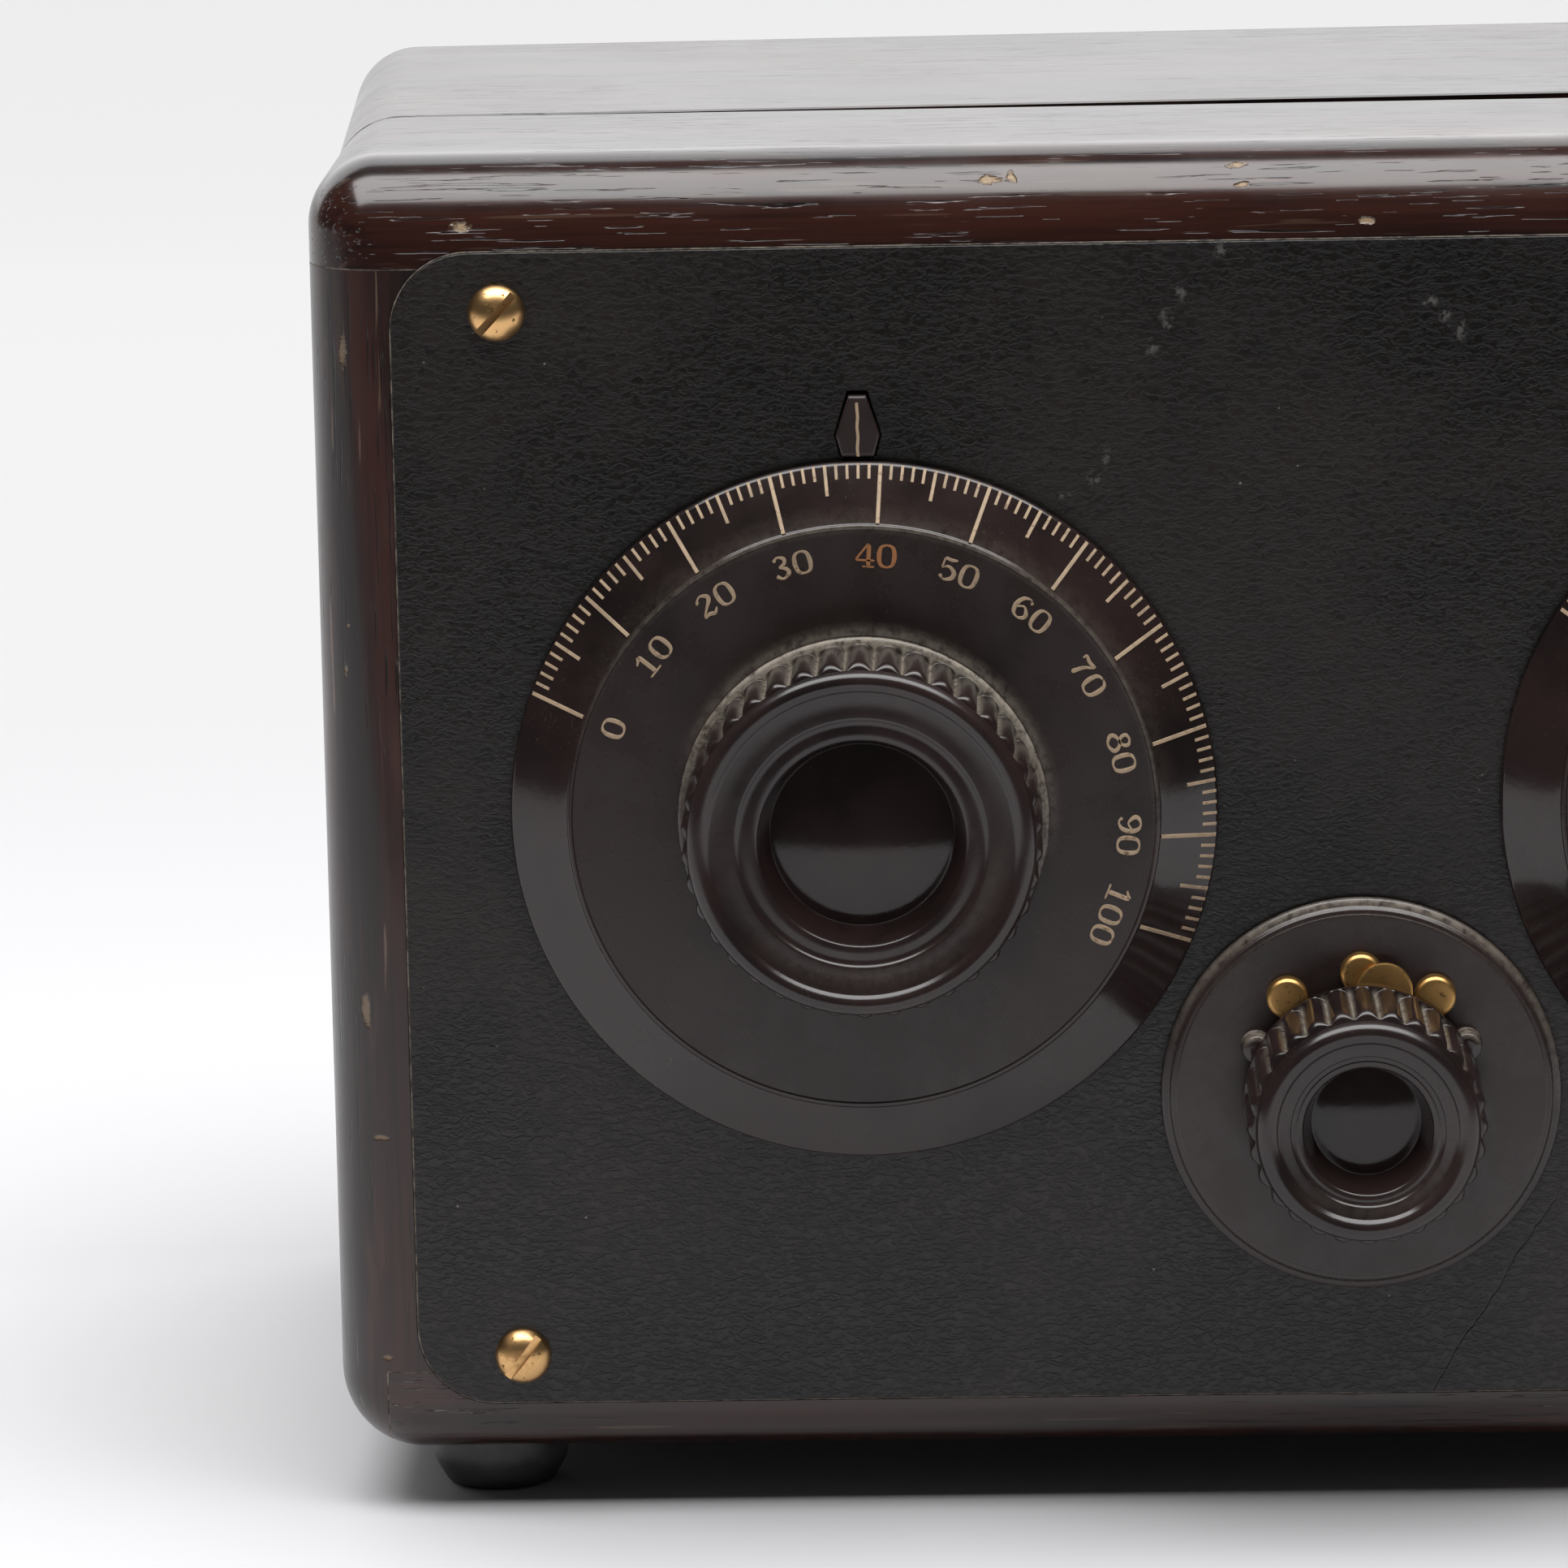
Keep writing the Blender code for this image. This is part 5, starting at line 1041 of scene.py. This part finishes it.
# A disc whose rim has a groove and two beads, and two round stop posts; grime lies on the upper rim.
def switchBase():
    radius, top = switch["radius"], switch["thickness"]
    path = np.concatenate([
        [(3.4 * mm, switch["gap"]), (3.4 * mm, top), (12 * mm, top), (22 * mm, top)],
        eased([(25.6 * mm, top), (26.2 * mm, top, 0.15 * mm), (26.35 * mm, top - 0.12 * mm, 0.12 * mm),
               (26.9 * mm, top - 0.14 * mm, 0.3 * mm), (27.35 * mm, top - 0.75 * mm, 0.3 * mm),
               (27.9 * mm, top - 0.85 * mm, 0.3 * mm), (radius, top - 1.2 * mm, 0.25 * mm),
               (radius, switch["gap"] + 0.1 * mm)], 4),
        [(radius - 0.1 * mm, switch["gap"])]])
    steps = 192
    surface = revolved(path, switchCentre, toFront, steps)
    upper = np.clip(np.cos(np.arange(steps) * 2 * np.pi / steps - 0.15), 0, 1)
    groove = np.exp(-((path[:, :1] - 27.9 * mm) / (0.6 * mm)) ** 2) * 0.65
    groove = groove + np.exp(-((path[:, :1] - 26.3 * mm) / (0.2 * mm)) ** 2) * 0.12
    disc = bandPart(surface, "plateauBakelite")
    disc["points"] = surface.reshape(-1, 3)
    disc["faces"] = disc["faces"] % len(disc["points"])
    parts, grime = [disc], [(groove * upper[None]).ravel()]
    for side in (-1, 1):
        angle = side * math.radians(switch["stopAngle"])
        centre = switchCentre + Vector((math.sin(angle), 0, math.cos(angle))) * switch["stopCircle"]
        post = eased([(0, top - 0.2 * mm), (switch["stop"] + 0.25 * mm, top - 0.2 * mm, 0.02 * mm),
                      (switch["stop"] + 0.2 * mm, top + 0.1 * mm, 0.1 * mm),
                      (switch["stop"], top + 0.5 * mm, 0.3 * mm),
                      (switch["stop"], switch["stopTop"] - 0.1 * mm, 0.35 * mm),
                      (switch["stop"] * 0.5, switch["stopTop"], 0.2 * mm), (0, switch["stopTop"])], 4)
        knob = revolved(post, centre, toFront, 48)
        parts.append(gridPart(knob, "dialBakelite"))
        dusty = np.clip(np.cos(np.arange(48) * 2 * np.pi / 48), 0, 1) * 0.6
        grime.append((np.broadcast_to(dusty[None],
                                      knob.shape[:2]) * (post[:, :1] > switch["stop"] * 0.8)).ravel())
    makePiece("switchBase", parts, "cabinet", ["switch_base"], grime=np.concatenate(grime))


# A contact stud: slightly crowned face, an eased shoulder, and the shank through the panel.
def studPiece(number):
    low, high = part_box(f"switch_stud_{number}")
    x, z, radius = (low.x + high.x) / 2, (low.z + high.z) / 2, (high.x - low.x) / 2
    top, seat, end = faceY - low.y, switch["thickness"] + 0.12 * mm, faceY - high.y
    path = eased([(0, top), (radius * 0.55, top - 0.01 * mm, 0.3 * mm),
                  (radius * 0.84, top - 0.06 * mm, 0.2 * mm),
                  (radius * 0.99, top - 0.5 * mm, 0.25 * mm), (radius, top - 1.2 * mm, 0.2 * mm),
                  (radius, seat, 0.05 * mm),
                  (1.4 * mm, seat), (1.4 * mm, end), (0, end)], 4)
    makePiece(f"contactStud{number}", [gridPart(revolved(path, (x, faceY, z), toFront, 64), "brass")],
              "cabinet",
              [f"switch_stud_{number}"])


# A flat blade from the hub to a round end over the studs, its edges rolled over, and the spindle.
def wiperPiece():
    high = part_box("switch_wiper")[1]
    turnRange = joints["selector_turn"]["range_deg"]
    tilt = math.radians((turnRange[0] + turnRange[1]) / -2)
    back, front = 5.0 * mm, 5.9 * mm
    hub, end, reach = 6.5 * mm, 4.0 * mm, 16.2 * mm
    lean = math.asin((hub - end) / reach)
    around = np.linspace(lean, np.pi - lean, 40)
    below = np.linspace(np.pi - lean, 2 * np.pi + lean, 40)
    outline = np.concatenate([np.stack([end * np.cos(around), reach + end * np.sin(around)], -1),
                              np.stack([hub * np.cos(below), hub * np.sin(below)], -1)[1:-1]])
    centre = np.array([0, reach * 0.55])

    def loop(shrink, out):
        flat = centre + (outline - centre) * shrink
        x = flat[:, 0] * math.cos(tilt) + flat[:, 1] * math.sin(tilt)
        z = -flat[:, 0] * math.sin(tilt) + flat[:, 1] * math.cos(tilt)
        return np.stack([switchCentre.x + x, np.full(len(x), faceY - out), switchCentre.z + z], -1)

    rows = [loop(0.985, back), loop(1.0, back + 0.12 * mm), loop(1.0, front - 0.25 * mm),
            loop(0.992, front - 0.08 * mm), loop(0.975, front - 0.01 * mm), loop(0.93, front)]
    spindle = np.array([(0, 14.5 * mm), (3.1 * mm, 14.5 * mm), (3.1 * mm, faceY - high.y),
                        (0, faceY - high.y)])
    makePiece("wiperBlade", [gridPart(lidded(rows), "brass"),
                             gridPart(revolved(spindle, switchCentre), "brass")],
              "selector", ["switch_wiper"])


switchBase()
for number in (1, 2, 3):
    studPiece(number)
wiperPiece()
print("switch made")


# A low turned foot, straight at the top and drawn in to its base.
def footPiece(node):
    low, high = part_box(node)
    centre, radius, top = (low + high) / 2, (high.x - low.x) / 2, high.z
    path = eased([(0, top), (radius, top, 0.1 * mm), (radius, top * 0.60, 1.2 * mm),
                  (radius * 0.94, top * 0.36, 1.0 * mm),
                  (radius * 0.78, 0.15 * mm, 0.4 * mm), (radius * 0.70, low.z, 0.1 * mm), (0, low.z)], 5)
    body = "cover" if "rear" in node else "cabinet"
    name = "foot" + "".join(word.title() for word in node.split("_")[1:])
    makePiece(name, [gridPart(revolved(path, (centre.x, centre.y, 0), toTop, 72), "footBlack")], body,
              [node])


for node in ("foot_front_left", "foot_front_right", "foot_rear_left", "foot_rear_right"):
    footPiece(node)


coilLook = {"turns": 92, "stepsPerTurn": 4, "around": 120}


# One bump of wire for each turn: radius is the core plus the wire's half circle at each height.
def coilPiece():
    low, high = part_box("coil_winding")
    centre, outer = (low + high) / 2, (high.x - low.x) / 2
    wire = (high.z - low.z) / coilLook["turns"]
    share = np.arange(coilLook["stepsPerTurn"]) / coilLook["stepsPerTurn"]
    heights = (np.arange(coilLook["turns"])[:, None] + share[None]).ravel() * wire
    bump = np.sqrt(np.maximum(1 - (2 * (heights / wire % 1) - 1) ** 2, 0))
    radius = outer - wire * 0.5 * (1 - bump)
    heights, radius = np.append(heights, high.z - low.z), np.append(radius, outer - wire * 0.5)
    core = outer - wire
    path = np.concatenate([[(core, low.z)], np.stack([radius, low.z + heights], -1), [(core, high.z)]])
    surface = revolved(path, (centre.x, centre.y, 0), toTop, coilLook["around"])
    makePiece("coilWinding", [bandPart(surface, "cotton")], "cabinet", ["coil_winding"], sharp=80)


# A knurled nut: 30 rounded teeth round its rim, both faces chamfered, on the post's axis.
def nutPiece(node):
    low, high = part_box(node)
    centre, radius = (low + high) / 2, (high.z - low.z) / 2
    long = high.x - low.x
    hole = radius * 0.42
    path = [(hole, 0, 0), (radius * 0.72, 0, 0), (radius * 0.76, 0.25 * mm, 0),
            (radius * 0.90, 0.5 * mm, 0.0),
            (radius, 0.9 * mm, 1), (radius, long - 0.9 * mm, 1), (radius * 0.92, long - 0.35 * mm, 0.3),
            (radius * 0.80, long, 0), (hole, long, 0)]
    steps = 240
    angle = np.arange(steps) * 2 * np.pi / steps
    tooth = 0.5 + 0.5 * np.cos(30 * angle)
    rows = np.array(path)
    reach = rows[:, :1] - 0.45 * mm * rows[:, 2:] * (1 - tooth[None] ** 0.6)
    points = np.stack([low.x + np.broadcast_to(rows[:, 1:2], reach.shape), centre.y + reach * np.cos(angle),
                       centre.z + reach * np.sin(angle)], -1)
    name = "nut" + "".join(word.title() for word in node.split("_")[1:])
    makePiece(name, [bandPart(points, "wornBrass")], node[4:] + "_nut", [node], sharp=50)


coilPiece()
for node in ("nut_earth", "nut_phones_low", "nut_phones_high", "nut_aerial"):
    nutPiece(node)

nodeFinish = {
    "aluminium": ("condenser_left_front_plate", "condenser_left_rear_plate", "condenser_left_stator",
                  "condenser_right_front_plate", "condenser_right_rear_plate", "condenser_right_stator",
                  "rotor_left", "rotor_right"),
    "coverWood": ("coil_base",),
    "card": ("coil_former",),
    "blackBakelite": ("detector_base", "terminal_strip"),
    "brass": ("crystal_cup", "detector_ball", "detector_arm", "terminal_earth", "terminal_phones_low",
              "terminal_phones_high", "terminal_aerial", "hinge_leaf_fixed", "hinge_leaf_moving", "hook_stud",
              "cover_hook"),
    "galena": ("crystal",),
    "copper": ("aerial_wire",),
}
for finish, nodes in nodeFinish.items():
    for node in nodes:
        kept = frame["nodes"][node]
        kept.data.materials.clear()
        kept.data.materials.append(finishes[finish])
print("inside made")


studio = {"floor": (0.63, 0.625, 0.64), "front": 0.43, "side": 3.0, "rise": 1.35, "bend": 0.5, "top": 3.4,
          "under": 0.1 * mm,
          "glowStart": 0.12, "glowFull": 0.75, "low": 0.84, "high": 2.1, "highFrom": 0.25, "highTo": 1.0,
          "world": 0.045, "distance": 0.93,
          "softBox": {"elevation": 77.5, "distance": 1.5, "size": (2.0, 1.16), "power": 45.0,
                                                     "aimHeight": 0.1}}


# A pale sheet lit by the lamp near the object; farther back, and up the wall, it shines by itself. It can
# be seen through from behind.
def sweepFinish():
    made, tree, shader, place = newMaterial("sweepPaper")
    tone = between(tree, noise(tree, place, 3.0, 3.0), 0.3, 0.7)
    paper = mixed(tree, tone, studio["floor"], tuple(c * 0.985 for c in studio["floor"]))
    apart = join(tree, "ShaderNodeSeparateXYZ", {0: place})
    share = between(tree, apart[1], studio["glowStart"], studio["glowFull"])
    strength = between(tree, apart[2], studio["highFrom"], studio["highTo"], (studio["low"], studio["high"]))
    feed(tree, shader, {"Base Color": mixed(tree, share, paper, (0.0, 0.0, 0.0)), "Roughness": 0.7,
                        "Emission Strength": calc(tree, "MULTIPLY", share, strength),
                        "Emission Color": (0.99, 0.99, 1.0, 1.0), "Specular IOR Level": 0.2})
    behind = join(tree, "ShaderNodeNewGeometry")["Backfacing"]
    clear = join(tree, "ShaderNodeBsdfTransparent")[0]
    either = join(tree, "ShaderNodeMixShader", {0: behind, 1: shader.outputs[0], 2: clear})[0]
    feed(tree, tree.nodes["Material Output"], {"Surface": either})
    return made


# One sheet: flat from the front edge back, a quarter round of radius bend, then straight up.
def makeStudio():
    bend = studio["bend"]
    turn = np.linspace(0, np.pi / 2, 17)
    flat = np.linspace(faceY - studio["front"], studio["rise"], 9)[:-1]
    y = np.concatenate([flat, studio["rise"] + bend * np.sin(turn), [studio["rise"] + bend]])
    z = np.concatenate([np.zeros(8), bend * (1 - np.cos(turn)), [studio["top"]]]) - studio["under"]
    x = np.linspace(-studio["side"], studio["side"], 7)
    points = np.stack([np.broadcast_to(x, (len(y), 7)), np.repeat(y[:, None], 7, 1),
                       np.repeat(z[:, None], 7, 1)], -1)
    part = gridPart(points, None, around=False)
    mesh = bpy.data.meshes.new("sweep")
    mesh.from_pydata(part["points"].tolist(), [], part["faces"].tolist())
    mesh.polygons.foreach_set("use_smooth", np.ones(len(part["faces"]), dtype=bool))
    mesh.materials.append(sweepFinish())
    mesh.update()
    if mesh.polygons[0].normal.z < 0:
        mesh.flip_normals()
    shown(bpy.data.objects.new("sweep", mesh))
    box = studio["softBox"]
    data = bpy.data.lights.new("softBox", "AREA")
    data.shape, data.size, data.size_y, data.energy = "RECTANGLE", *box["size"], box["power"]
    lamp = bpy.data.objects.new("softBox", data)
    rise = math.radians(box["elevation"])
    lit = Vector((0, faceY, box["aimHeight"]))
    lamp.location = lit + box["distance"] * Vector((0, -math.cos(rise), math.sin(rise)))
    lamp.rotation_euler = (lit - lamp.location).to_track_quat("-Z", "Y").to_euler()
    shown(lamp)
    world = bpy.data.worlds.new("studio")
    world.use_nodes = True
    sky = world.node_tree.nodes["Background"]
    sky.inputs["Color"].default_value = (1, 1, 1, 1)
    seen = world.node_tree.nodes.new("ShaderNodeLightPath").outputs["Is Camera Ray"]
    strength = between(world.node_tree, seen, 0.0, 1.0, (studio["world"], studio["distance"]))
    world.node_tree.links.new(strength, sky.inputs["Strength"])
    bpy.context.scene.world = world
    bpy.context.scene.view_settings.view_transform = "Standard"


makeStudio()
print("studio made")
